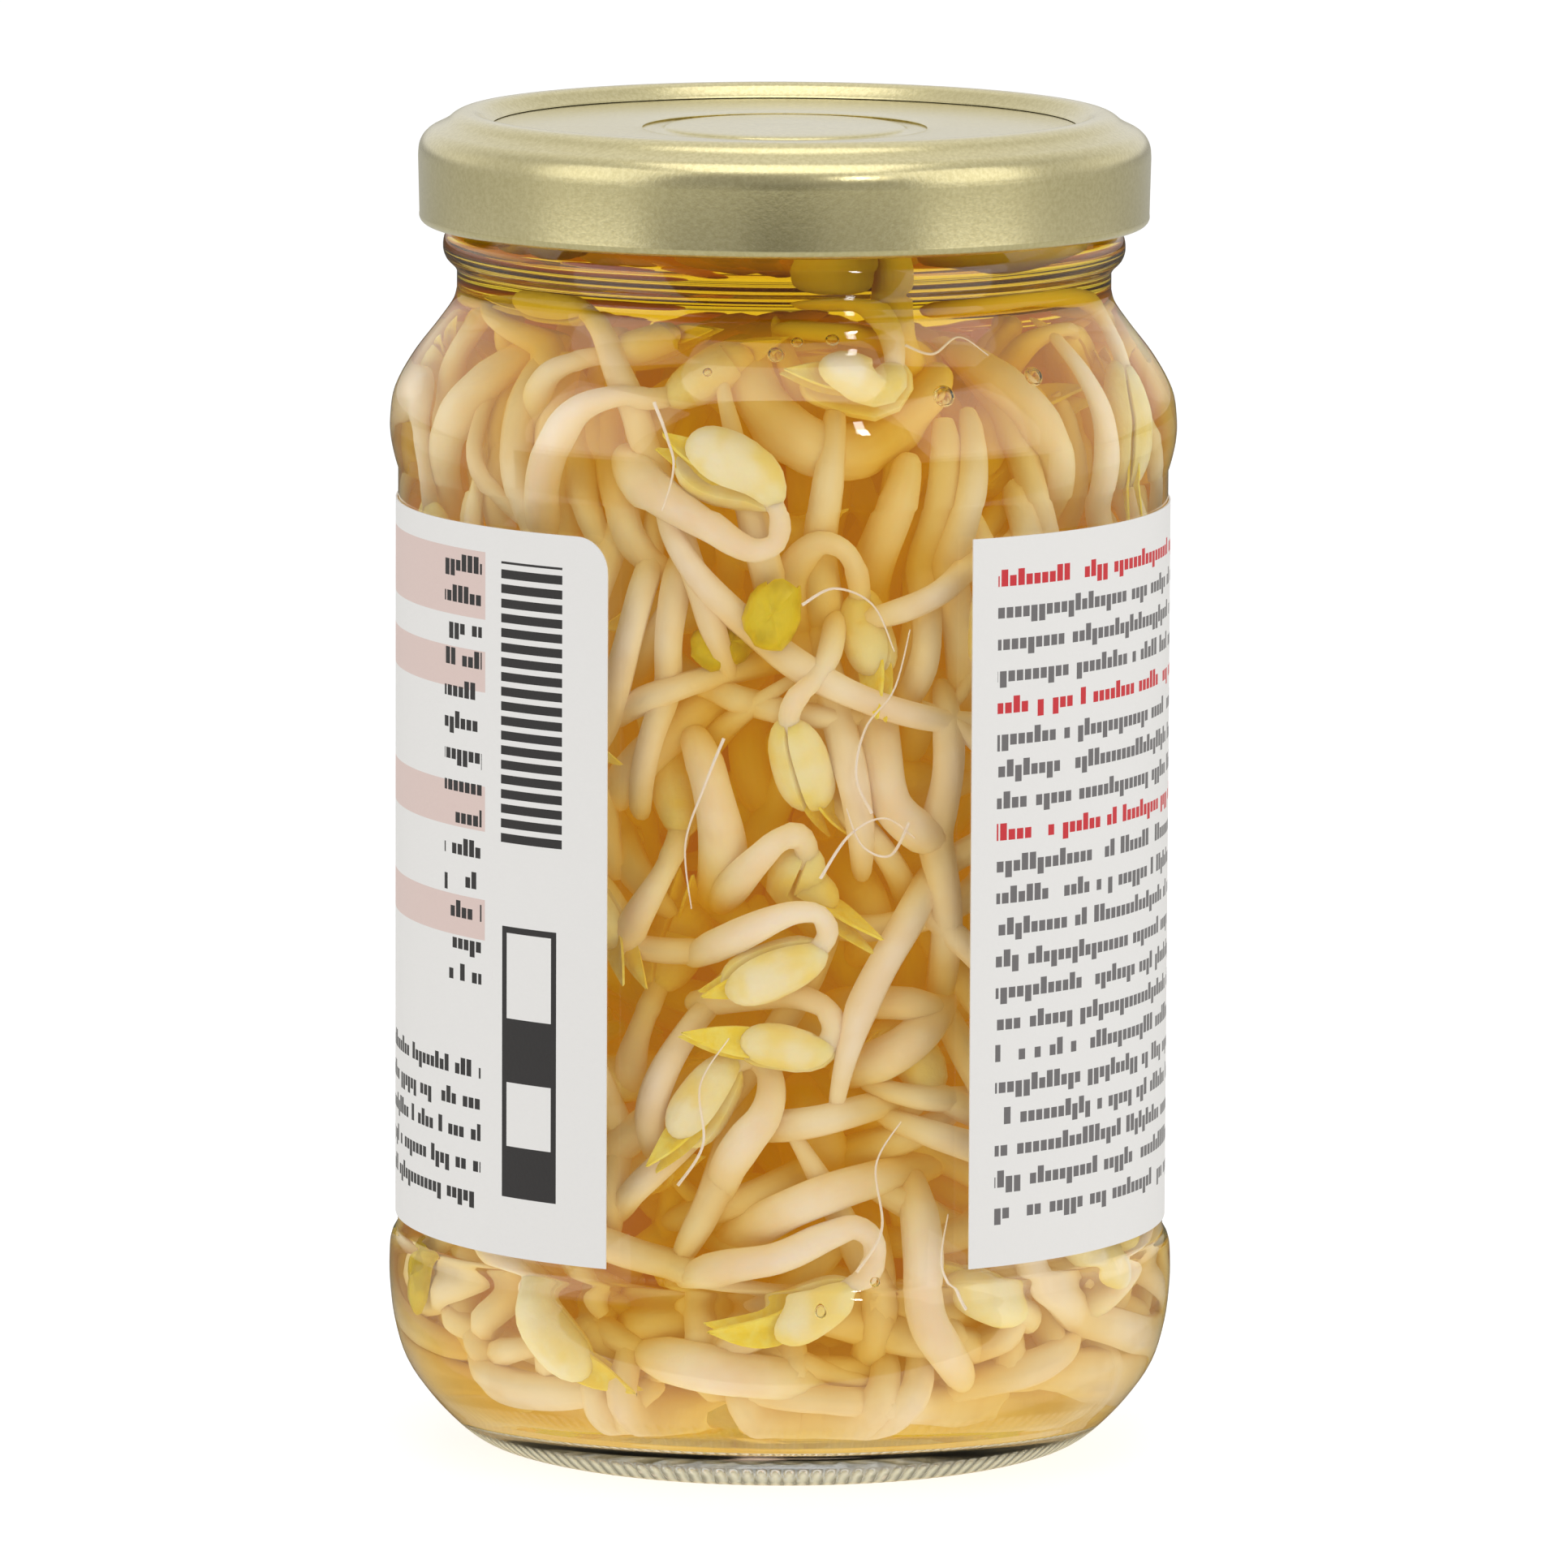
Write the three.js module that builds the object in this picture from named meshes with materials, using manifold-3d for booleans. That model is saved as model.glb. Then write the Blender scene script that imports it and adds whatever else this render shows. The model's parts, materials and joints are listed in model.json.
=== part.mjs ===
// A jar of mung bean sprouts in brine: a glass jar with a four-lug twist-off lid, a paper
// label with a gap at the front, the brine, and the sprouts packed against the glass.
// Millimetres, +Z up. The origin is the middle of the jar's foot. Angles are degrees from the
// front (-Y) towards +X, and a depth is measured inwards from the inside of the glass.
import * as THREE from 'three';
import { mergeVertices } from 'three/addons/utils/BufferGeometryUtils.js';
import Module from 'manifold-3d';

const wasm = await Module();
wasm.setup();

// ---- Driving dimensions -------------------------------------------------------------------

const AROUND = 32; // flats around the glass, lid and label
const SOFT_AROUND = 30; // flats around what lies inside
const TOUCH_GAP = 0.3; // between pieces that rest on each other

const BODY_RADIUS = 36.95; // bumper rings above and below the label
const PANEL_RADIUS = 36.2; // recessed label panel
const PANEL_BOTTOM = 20;
const PANEL_TOP = 92;
const NECK_RADIUS = 30.7;
const BEAD_RADIUS = 32;
const FINISH_RADIUS = 31; // the wall that carries the threads
const MOUTH_RADIUS = 28.3;
const RIM_HEIGHT = 123.6; // sealing edge of the glass
const FOOT_OUTER = 28.4;
const FOOT_INNER = 26.6;
const WALL = 2.1;

const LUG_COUNT = 4;
const LUG_FIRST_ANGLE = -27;
const LUG_HALF_ANGLE = 11;
const LUG_REACH = 31.5; // how far in a lug comes
const LUG_BOTTOM = 115.3;
const LUG_THICK = 1.1;
const THREAD_RISE_PER_TURN = 11.94;
const THREAD_RADIUS = 1.1;
const THREAD_BEFORE = 8; // degrees of thread before the closed lug's middle
const THREAD_AFTER = 50; // and after it
const THREAD_OVER_LUG = 0.65; // clear height over the middle of a closed lug

const LID_RADIUS = 34.35;
const LID_TOP = 125.5;
const LID_SHEET = 0.6;
const LID_PANEL_RADIUS = 27.5;
const LID_PANEL_HEIGHT = 124.1;
const CURL_RADIUS = 0.75;
const CURL_HEIGHT = 115.85;

const LABEL_BOTTOM = 21.2;
const LABEL_TOP = 89.2;
const LABEL_INNER = 36.42;
const LABEL_OUTER = 36.68;
const LABEL_GAP_LEFT = -26.2;
const LABEL_GAP_RIGHT = 28.7;

const BRINE_LEVEL = 117.6;
const BRINE_FILM = 0.6;

const STEM_RADIUS = 1.85;
const STOUT_RADIUS = 2.15;
const THIN_RADIUS = 1.6;
const NECK_THIN_RADIUS = 1.15; // where the neck joins the head
const NECK_LENGTH = 2.5;
const NECK_SWELL = 8; // over which the neck widens to the stem
const ROOT_RADIUS = 0.55;
const ROOT_LENGTH = 12;
const SEED_LEAF_LENGTH = 9.5;
const SEED_LEAF_HALF_WIDE = 2.35;
const SEED_LEAF_HALF_THICK = 1.4;
const FIRST_LEAF_SHOWS = 3.5; // past the seed leaves
const FIRST_LEAF_WIDE = 1.3; // half width
const FIRST_LEAF_THICK = 0.7; // half thickness
const FIRST_LEAF_TIP = 0.35;
const COAT_HALF = [2.3, 3.5]; // half width and half length of a seed coat
const COAT_DEEP = 1.9;
const COAT_SKIN = 0.65;

// ---- Solids -------------------------------------------------------------------------------

const radians = THREE.MathUtils.degToRad;

/** A closed three.js geometry as a solid that can be joined and cut. */
function solidOf(geometry) {
  const bare = geometry.clone();
  bare.deleteAttribute('normal');
  bare.deleteAttribute('uv');
  const merged = mergeVertices(bare, 1e-4);
  return new wasm.Manifold(new wasm.Mesh({
    numProp: 3,
    vertProperties: new Float32Array(merged.attributes.position.array),
    triVerts: new Uint32Array(merged.index.array),
  }));
}

/** A solid back as a three.js geometry. */
function geometryOf(solid) {
  const mesh = solid.getMesh();
  const geometry = new THREE.BufferGeometry();
  geometry.setAttribute('position', new THREE.BufferAttribute(mesh.vertProperties, 3));
  geometry.setIndex(new THREE.BufferAttribute(mesh.triVerts, 1));
  geometry.computeVertexNormals();
  return geometry;
}

/** Many solids as one. */
function joined(solids) {
  return solids.reduce((sum, solid) => sum.add(solid));
}

/** The point at an angle round the jar, a radius and a height. */
function around(angle, radius, height) {
  const turn = radians(angle);
  return new THREE.Vector3(radius * Math.sin(turn), -radius * Math.cos(turn), height);
}

/** A turned piece from its half section, given as [radius, height] going up the outside. */
function turned(section, flats = AROUND) {
  const points = section.map(([radius, height]) => new THREE.Vector2(radius, height));
  const geometry = new THREE.LatheGeometry(points, flats);
  geometry.rotateX(Math.PI / 2);
  return geometry;
}

/** Points on a smooth line through a few [radius, height] points. */
function smoothLine(controls, pieces) {
  const curve = new THREE.SplineCurve(controls.map((point) => new THREE.Vector2(...point)));
  return curve.getPoints(pieces).map((point) => [point.x, point.y]);
}

/** A bar lofted through one ring of [sideways, outwards] corners at each point. */
function loftedBar(points, rings) {
  const sides = rings[0].length;
  const last = points.length - 1;
  const geometry = new THREE.CylinderGeometry(1, 1, 1, sides, last);
  const position = geometry.attributes.position;
  const frames = frameAlong(points);
  for (let i = 0; i < position.count; i += 1) {
    const x = position.getX(i);
    const z = position.getZ(i);
    const station = Math.round((position.getY(i) + 0.5) * last);
    const corner = Math.round((Math.atan2(x, z) * sides) / (2 * Math.PI) + sides) % sides;
    const isCorner = Math.hypot(x, z) > 0.5;
    const [sideways, outwards] = isCorner ? rings[station][corner] : [0, 0];
    const placed = points[station].clone();
    placed.addScaledVector(frames[station].side, sideways);
    placed.addScaledVector(frames[station].up, outwards);
    position.setXYZ(i, placed.x, placed.y, placed.z);
  }
  return geometry;
}

/** A ring of corners whose corners and flats lie evenly about an ellipse. */
function ellipseRing(halfSideways, halfOutwards, sides) {
  const swell = 2 / (1 + Math.cos(Math.PI / sides));
  const ring = [];
  for (let i = 0; i < sides; i += 1) {
    const turn = (i * 2 * Math.PI) / sides;
    ring.push([
      halfSideways * swell * Math.sin(turn),
      halfOutwards * swell * Math.cos(turn),
    ]);
  }
  return ring;
}

/** Directions along a line of points, carried on from each point without twisting. */
function frameAlong(points) {
  const frames = [];
  let side = null;
  points.forEach((point, i) => {
    const before = points[Math.max(i - 1, 0)];
    const after = points[Math.min(i + 1, points.length - 1)];
    const forward = after.clone().sub(before).normalize();
    if (side === null) {
      const outward = new THREE.Vector3(point.x, point.y, 0).normalize();
      side = new THREE.Vector3().crossVectors(outward, forward).normalize();
    }
    side.addScaledVector(forward, -side.dot(forward)).normalize();
    const up = new THREE.Vector3().crossVectors(side, forward);
    frames.push({ forward, side: side.clone(), up });
  });
  return frames;
}

// ---- Finishes -----------------------------------------------------------------------------

const glass = new THREE.MeshStandardMaterial({
  color: 0xdfe6e0, roughness: 0.05, transparent: true, opacity: 0.35,
});
const goldLacquer = new THREE.MeshStandardMaterial({ color: 0xb39a5c, roughness: 0.35, metalness: 1 });
const compound = new THREE.MeshStandardMaterial({ color: 0xe9e2d2, roughness: 0.6 });
const paper = new THREE.MeshStandardMaterial({ color: 0xf1efec, roughness: 0.7 });
const liquid = new THREE.MeshStandardMaterial({
  color: 0xe0b860, roughness: 0.05, transparent: true, opacity: 0.35,
});

const sproutFlesh = new THREE.MeshStandardMaterial({ color: 0xe9d3a6, roughness: 0.35 });
const seedCoat = new THREE.MeshStandardMaterial({ color: 0xb08a1c, roughness: 0.4 });

const object = new THREE.Group();

function addNode(name, geometry, material) {
  const mesh = new THREE.Mesh(geometry, material);
  mesh.name = name;
  object.add(mesh);
  return mesh;
}

// ---- Glass jar ----------------------------------------------------------------------------
// Blown in one piece: a foot ring round a pushed-up base, a round heel, bumper rings that
// keep the label from rubbing, a sloping shoulder, a bead and four thread starts.

const heel = smoothLine(
  [[FOOT_OUTER, 0], [30.7, 1.7], [33.3, 4.3], [35.4, 7.4], [36.5, 11], [BODY_RADIUS, 14.8]],
  5,
);
const shoulder = smoothLine(
  [[36.6, 93.6], [BODY_RADIUS + 0.05, 96.2], [36.5, 99.5], [34.8, 102.6], [32.5, 105.6],
    [31.1, 107.6], [NECK_RADIUS, 108.8]],
  6,
);
const bead = [
  [NECK_RADIUS, 110.9], [31.5, 111.7], [BEAD_RADIUS, 112.6], [BEAD_RADIUS, 113.7],
  [FINISH_RADIUS, 114.7],
];
const rim = [
  [FINISH_RADIUS, RIM_HEIGHT - 0.8], [FINISH_RADIUS - 0.5, RIM_HEIGHT],
  [MOUTH_RADIUS + 0.5, RIM_HEIGHT], [MOUTH_RADIUS, RIM_HEIGHT - 0.8],
];

/** Inside of the glass, from the middle of the floor up to the mouth. */
const cavity = [
  [0, 6.2], [24, 4.8], [28.2, 5.4], [31.5, 8.2], [33.5, 12.2], [PANEL_RADIUS - WALL, 17.5],
  [PANEL_RADIUS - WALL, PANEL_TOP], [34.3, 97], [32.9, 101], [30, 105], [MOUTH_RADIUS, 109.5],
];

function jarGlass() {
  const body = turned([
    [0, 2.8], [20, 2], [25, 0.9], [FOOT_INNER, 0], ...heel,
    [BODY_RADIUS, 18.6], [PANEL_RADIUS, PANEL_BOTTOM], [PANEL_RADIUS, PANEL_TOP], ...shoulder,
    ...bead, ...rim, ...[...cavity].reverse(),
  ]);
  const threads = [];
  for (let i = 0; i < LUG_COUNT; i += 1) {
    threads.push(solidOf(threadStart(LUG_FIRST_ANGLE + (i * 360) / LUG_COUNT)));
  }
  return geometryOf(joined([solidOf(body), ...threads]));
}

/** One thread start: a rounded ridge that climbs away over a closed lug. */
function threadStart(lugAngle) {
  const stages = 6;
  const points = [];
  const rings = [];
  const closedHeight = LUG_BOTTOM + LUG_THICK + THREAD_OVER_LUG + THREAD_RADIUS;
  for (let i = 0; i < stages; i += 1) {
    const along = i / (stages - 1);
    const offset = THREE.MathUtils.lerp(-THREAD_BEFORE, THREAD_AFTER, along);
    const height = closedHeight + (offset / 360) * THREAD_RISE_PER_TURN;
    points.push(around(lugAngle + offset, FINISH_RADIUS + 0.05, height));
    const isEnd = i === 0 || i === stages - 1;
    const radius = isEnd ? THREAD_RADIUS * 0.55 : THREAD_RADIUS;
    rings.push(ellipseRing(radius, radius, 6));
  }
  return loftedBar(points, rings);
}

// ---- Lid ----------------------------------------------------------------------------------
// Pressed from tinplate: a raised rim round a recessed panel with a safety button, a straight
// skirt, a curl rolled inwards, and four lugs pressed in from the curl.

function lid() {
  const crown = smoothLine(
    [[29.6, LID_TOP], [31.9, 124.8], [33.3, 123.9], [34.05, 122.9], [LID_RADIUS, 121.6]],
    5,
  );
  const curl = [];
  for (let i = 0; i <= 5; i += 1) {
    const turn = radians(THREE.MathUtils.lerp(15, -225, i / 5));
    curl.push([
      LID_RADIUS - CURL_RADIUS - 0.1 + CURL_RADIUS * Math.cos(turn),
      CURL_HEIGHT + CURL_RADIUS * Math.sin(turn),
    ]);
  }
  const inside = LID_RADIUS - LID_SHEET;
  const panelUnderside = LID_PANEL_HEIGHT - LID_SHEET;
  const pressing = turned([
    [0, panelUnderside], [LID_PANEL_RADIUS - 0.2, panelUnderside],
    [28.3, LID_TOP - LID_SHEET - 0.35], [29, LID_TOP - LID_SHEET], [30.4, LID_TOP - LID_SHEET],
    [32.6, 123.6], [inside - 0.15, 122.4], [inside, 121.3], [inside, 117.4],
    ...curl.reverse(),
    ...crown.reverse(), [28.7, LID_TOP - 0.25], [LID_PANEL_RADIUS, LID_PANEL_HEIGHT + 0.15],
    [26.7, LID_PANEL_HEIGHT], [14.4, LID_PANEL_HEIGHT], [13.4, LID_PANEL_HEIGHT - 0.25],
    [11.6, LID_PANEL_HEIGHT - 0.25], [10.4, LID_PANEL_HEIGHT + 0.1],
    [4.2, LID_PANEL_HEIGHT + 0.3], [0, LID_PANEL_HEIGHT + 0.3],
  ]);
  const lugs = [];
  for (let i = 0; i < LUG_COUNT; i += 1) {
    lugs.push(solidOf(lug(LUG_FIRST_ANGLE + (i * 360) / LUG_COUNT)));
  }
  return geometryOf(joined([solidOf(pressing), ...lugs]));
}

/** One lug: a flat tongue that tapers at its ends into the curl. */
function lug(angle) {
  const root = LID_RADIUS - CURL_RADIUS;
  const middle = radians(angle - 90);
  const half = radians(LUG_HALF_ANGLE);
  const tip = half * 0.6;
  const plan = new THREE.Shape();
  plan.absarc(0, 0, LUG_REACH, middle - tip, middle + tip, false);
  plan.absarc(0, 0, root, middle + half, middle - half, true);
  const geometry = new THREE.ExtrudeGeometry(plan, {
    depth: LUG_THICK, bevelEnabled: false, curveSegments: 4,
  });
  geometry.translate(0, 0, LUG_BOTTOM);
  return geometry;
}

/** The soft compound flowed into the lid's channel, which the glass rim presses on. */
function sealingRing() {
  const bottom = RIM_HEIGHT + TOUCH_GAP;
  const top = LID_TOP - LID_SHEET - TOUCH_GAP;
  return turned([
    [28.8, bottom], [31.3, bottom], [31.3, bottom + 0.1], [30.2, top], [29.2, top],
    [28.8, top - 0.25], [28.8, bottom],
  ], SOFT_AROUND);
}

// ---- Label --------------------------------------------------------------------------------
// One strip of coated paper glued round the panel, stopping short of meeting at the front.

function label() {
  const start = radians(LABEL_GAP_RIGHT - 90);
  const sweep = radians(360 + LABEL_GAP_LEFT - LABEL_GAP_RIGHT);
  const plan = new THREE.Shape();
  plan.absarc(0, 0, LABEL_OUTER, start, start + sweep, false);
  plan.absarc(0, 0, LABEL_INNER, start + sweep, start, true);
  const geometry = new THREE.ExtrudeGeometry(plan, {
    depth: LABEL_TOP - LABEL_BOTTOM, bevelEnabled: false, curveSegments: 31,
  });
  geometry.translate(0, 0, LABEL_BOTTOM);
  return geometry;
}

// ---- Brine --------------------------------------------------------------------------------
// The brine wets the glass all over. It is a skin of liquid with one plain hole, open at the
// top, in which the sprouts stand.

function insetCavity(inset) {
  return cavity.map(([radius, height], i) => {
    const before = cavity[Math.max(i - 1, 0)];
    const after = cavity[Math.min(i + 1, cavity.length - 1)];
    const run = new THREE.Vector2(after[0] - before[0], after[1] - before[1]).normalize();
    const inwards = radius === 0 ? 0 : radius - run.y * inset;
    return [inwards, height + run.x * inset];
  });
}

function brine() {
  const outside = insetCavity(TOUCH_GAP);
  const inside = insetCavity(TOUCH_GAP + BRINE_FILM);
  const mouth = MOUTH_RADIUS - TOUCH_GAP;
  return turned([
    ...outside, [mouth, BRINE_LEVEL], [mouth - BRINE_FILM, BRINE_LEVEL], ...inside.reverse(),
  ], SOFT_AROUND);
}

// ---- Sprouts: how they lie ----------------------------------------------------------------
// A sprout is followed along its middle line, from its tail to its head, as [angle, height]
// on the wall. It lies as near the glass as those laid before it leave room for.

const STEP = 2; // between the stations of a middle line
const STRETCH = 31; // radius at which a length along the wall is measured
const LINING = TOUCH_GAP + BRINE_FILM + 0.6; // from the glass to the nearest sprout
const CLEARANCE = 0.55; // between sprouts of different bunches
const SINK = 1; // how far a sprout sinks into one that it grows against
const STEEPEST = 0.6; // most that a sprout turns inwards, per millimetre of its length
const BUNCH_SIZE = 3;
const MOST_BUNCHES = 50;
const FIRM = 1.45; // a joint holds where both radii are above this
const LONGEST_JOIN = 4; // stations of a sprout that may be sunk into another

const HEAD_ROOM = 2.9; // radius that the seed leaves fit in

const stations = []; // every laid station: place, radius and bunch
const bunches = []; // each a list of laid sprouts

let seed = 20457;

/** The next number of a fixed series, between two limits. */
function draw(low, high) {
  seed = (seed * 16807) % 2147483647;
  return low + ((high - low) * seed) / 2147483647;
}

/** Radius of the cavity at a height above its floor. */
function cavityRadius(height) {
  for (let i = 2; i < cavity.length; i += 1) {
    const [lowRadius, low] = cavity[i - 1];
    const [highRadius, high] = cavity[i];
    if (height <= high) {
      return lowRadius + ((highRadius - lowRadius) * Math.max(height - low, 0)) / (high - low);
    }
  }
  return MOUTH_RADIUS;
}

/** Distance from a point in the half section to the inside of the glass. */
function distanceToGlass(radius, height) {
  let nearest = MOUTH_RADIUS - radius;
  if (height < cavity[cavity.length - 1][1]) {
    nearest = Infinity;
  }
  for (let i = 1; i < cavity.length; i += 1) {
    const [startRadius, start] = cavity[i - 1];
    const [endRadius, end] = cavity[i];
    const runRadius = endRadius - startRadius;
    const run = end - start;
    const square = runRadius * runRadius + run * run;
    const share = ((radius - startRadius) * runRadius + (height - start) * run) / square;
    const along = Math.min(Math.max(share, 0), 1);
    const away = Math.hypot(
      radius - startRadius - along * runRadius,
      height - start - along * run,
    );
    nearest = Math.min(nearest, away);
  }
  return nearest;
}

/** How far out a station can lie at its height. */
function furthestOut(height, thickness) {
  const needed = thickness + LINING;
  let radius = cavityRadius(height) - needed;
  for (let i = 0; i < 60; i += 1) {
    const missing = needed - distanceToGlass(radius, height);
    if (missing <= 0) {
      break;
    }
    radius -= Math.max(missing, 0.02);
  }
  return radius;
}

/** Evenly spaced [angle, height] stations on a smooth line through hand-picked points. */
function spacedStations(points) {
  const perDegree = radians(STRETCH);
  const curve = new THREE.SplineCurve(
    points.map(([angle, height]) => new THREE.Vector2(angle * perDegree, height)),
  );
  const count = Math.round(curve.getLength() / STEP);
  return curve.getSpacedPoints(count).map((point) => [point.x / perDegree, point.y]);
}

/** Room that a sprout needs at each of its stations, as a radius. */
function radiiAlong(count, { stem, head, tail }) {
  const radii = [];
  for (let i = 0; i < count; i += 1) {
    const fromTail = i * STEP;
    const fromTip = (count - 1 - i) * STEP;
    const swell = tail === 'root' ? Math.min(fromTail / ROOT_LENGTH, 1) : 1;
    const stemRadius = THREE.MathUtils.lerp(ROOT_RADIUS, stem, swell);
    radii.push(head ? radiusNearHead(fromTip, stemRadius) : stemRadius);
  }
  return radii;
}

/** The same for a sprout with a head, at a distance from the head's tip. */
function radiusNearHead(fromTip, stemRadius) {
  if (fromTip < FIRST_LEAF_SHOWS) {
    return THREE.MathUtils.lerp(0.6, 1.4, fromTip / FIRST_LEAF_SHOWS);
  }
  const pastLeaf = fromTip - FIRST_LEAF_SHOWS;
  if (pastLeaf < SEED_LEAF_LENGTH) {
    return Math.max(HEAD_ROOM * Math.sqrt(Math.sin((Math.PI * pastLeaf) / SEED_LEAF_LENGTH)), 1.4);
  }
  const share = (pastLeaf - SEED_LEAF_LENGTH - NECK_LENGTH) / NECK_SWELL;
  const swell = Math.min(Math.max(share, 0), 1);
  return THREE.MathUtils.lerp(NECK_THIN_RADIUS, stemRadius, swell);
}

/** Where each station rests, going inwards past everything laid before, or null if nowhere. */
function layDown(line, radii, ownBunch, deepest) {
  const blocked = line.map(([angle, height], i) => {
    const turn = radians(angle);
    const outX = Math.sin(turn);
    const outY = -Math.cos(turn);
    const spans = [];
    stations.forEach((other) => {
      const gap = other.bunch === ownBunch ? -SINK : CLEARANCE;
      const reach = radii[i] + other.radius + gap;
      const rise = height - other.place.z;
      const along = outX * other.place.x + outY * other.place.y;
      const across = outX * other.place.y - outY * other.place.x;
      const square = reach * reach - rise * rise - across * across;
      if (square > 0) {
        const half = Math.sqrt(square);
        spans.push([along - half, along + half]);
      }
    });
    return spans;
  });
  const limit = line.map(([, height], i) => furthestOut(height, radii[i]));
  const resting = [...limit];
  for (let round = 0; round < 14; round += 1) {
    const moved = pushInwards(resting, blocked);
    if (Math.min(...resting) < STRETCH - deepest) {
      return null;
    }
    if (!moved && round > 2) {
      return line.map(([angle, height], i) => around(angle, resting[i], height));
    }
    easeAlong(resting, round < 3);
  }
  return null;
}

/** Pushes each station in until nothing blocks it, and tells whether any of them moved. */
function pushInwards(resting, blocked) {
  let moved = false;
  blocked.forEach((spans, i) => {
    let free = false;
    while (!free) {
      free = true;
      for (const [low, high] of spans) {
        if (resting[i] > low + 1e-6 && resting[i] < high) {
          resting[i] = low;
          free = false;
          moved = true;
        }
      }
    }
  });
  return moved;
}

/** Keeps a line from turning inwards too steeply, and rounds it where that still helps. */
function easeAlong(resting, rounding) {
  const most = STEEPEST * STEP;
  for (let i = 1; i < resting.length; i += 1) {
    resting[i] = Math.min(resting[i], resting[i - 1] + most);
  }
  for (let i = resting.length - 2; i >= 0; i -= 1) {
    resting[i] = Math.min(resting[i], resting[i + 1] + most);
  }
  if (rounding) {
    const before = [...resting];
    for (let i = 1; i < resting.length - 1; i += 1) {
      const middle = (before[i - 1] + before[i + 1]) / 2;
      resting[i] = Math.min(before[i], (before[i] + middle) / 2);
    }
  }
}

/** How many stations of a line are sunk into the stems and heads of one bunch. */
function stationsSunk(places, radii, bunch) {
  const others = stations.filter((other) => other.bunch === bunch && other.radius > FIRM);
  return places.filter((place, i) => radii[i] > FIRM && others.some(
    (other) => radii[i] + other.radius - place.distanceTo(other.place) > SINK * 0.8,
  )).length;
}

/** Lays one sprout: joined where it crosses a bunch that has room, or in a new bunch. */
function addSprout(line, form, deepest) {
  const radii = radiiAlong(line.length, form);
  let best = { bunch: null, sunk: LONGEST_JOIN + 1, places: null };
  for (let bunch = 0; bunch < bunches.length; bunch += 1) {
    const near = bunches[bunch].length < BUNCH_SIZE && crosses(line, bunch);
    const places = near ? layDown(line, radii, bunch, deepest) : null;
    const sunk = places ? stationsSunk(places, radii, bunch) : 0;
    if (sunk > 0 && sunk < best.sunk) {
      best = { bunch, sunk, places };
    }
  }
  if (best.places === null) {
    best.places = layDown(line, radii, null, deepest);
    best.bunch = bunches.length;
    if (best.places === null || bunches.length === MOST_BUNCHES) {
      return false;
    }
    bunches.push([]);
  }
  keep(best.places, radii, form, best.bunch);
  return true;
}

/** Whether a line passes over a bunch, seen from outside the jar. */
function crosses(line, bunch) {
  return bunches[bunch].some((sprout) => sprout.places.some((place) => {
    const angle = THREE.MathUtils.radToDeg(Math.atan2(place.x, -place.y));
    return line.some(([otherAngle, height]) => {
      const turn = ((otherAngle - angle + 540) % 360) - 180;
      return Math.hypot(radians(turn) * STRETCH, height - place.z) < 2;
    });
  }));
}

function keep(places, radii, form, bunch) {
  bunches[bunch].push({ places, radii, ...form });
  places.forEach((place, i) => stations.push({ place, radius: radii[i], bunch }));
}

// ---- Sprouts: the ones at the front -------------------------------------------------------
// Picked by eye, nearest the glass first. Each line runs from the tail to the head's tip.

const WHOLE = { stem: STEM_RADIUS, head: true, tail: 'cut' };
const ROOTED = { stem: THIN_RADIUS, head: true, tail: 'root' };
const STOUT = { stem: STOUT_RADIUS, head: false, tail: 'cut' };
const CUT = { stem: STEM_RADIUS, head: false, tail: 'cut' };
const ROOT = { stem: THIN_RADIUS, head: false, tail: 'root' };
const DEEPEST_AT_FRONT = 16;
const FACE_ON = true; // the split between the seed leaves faces out
const SIDE_ON = false;

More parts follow.
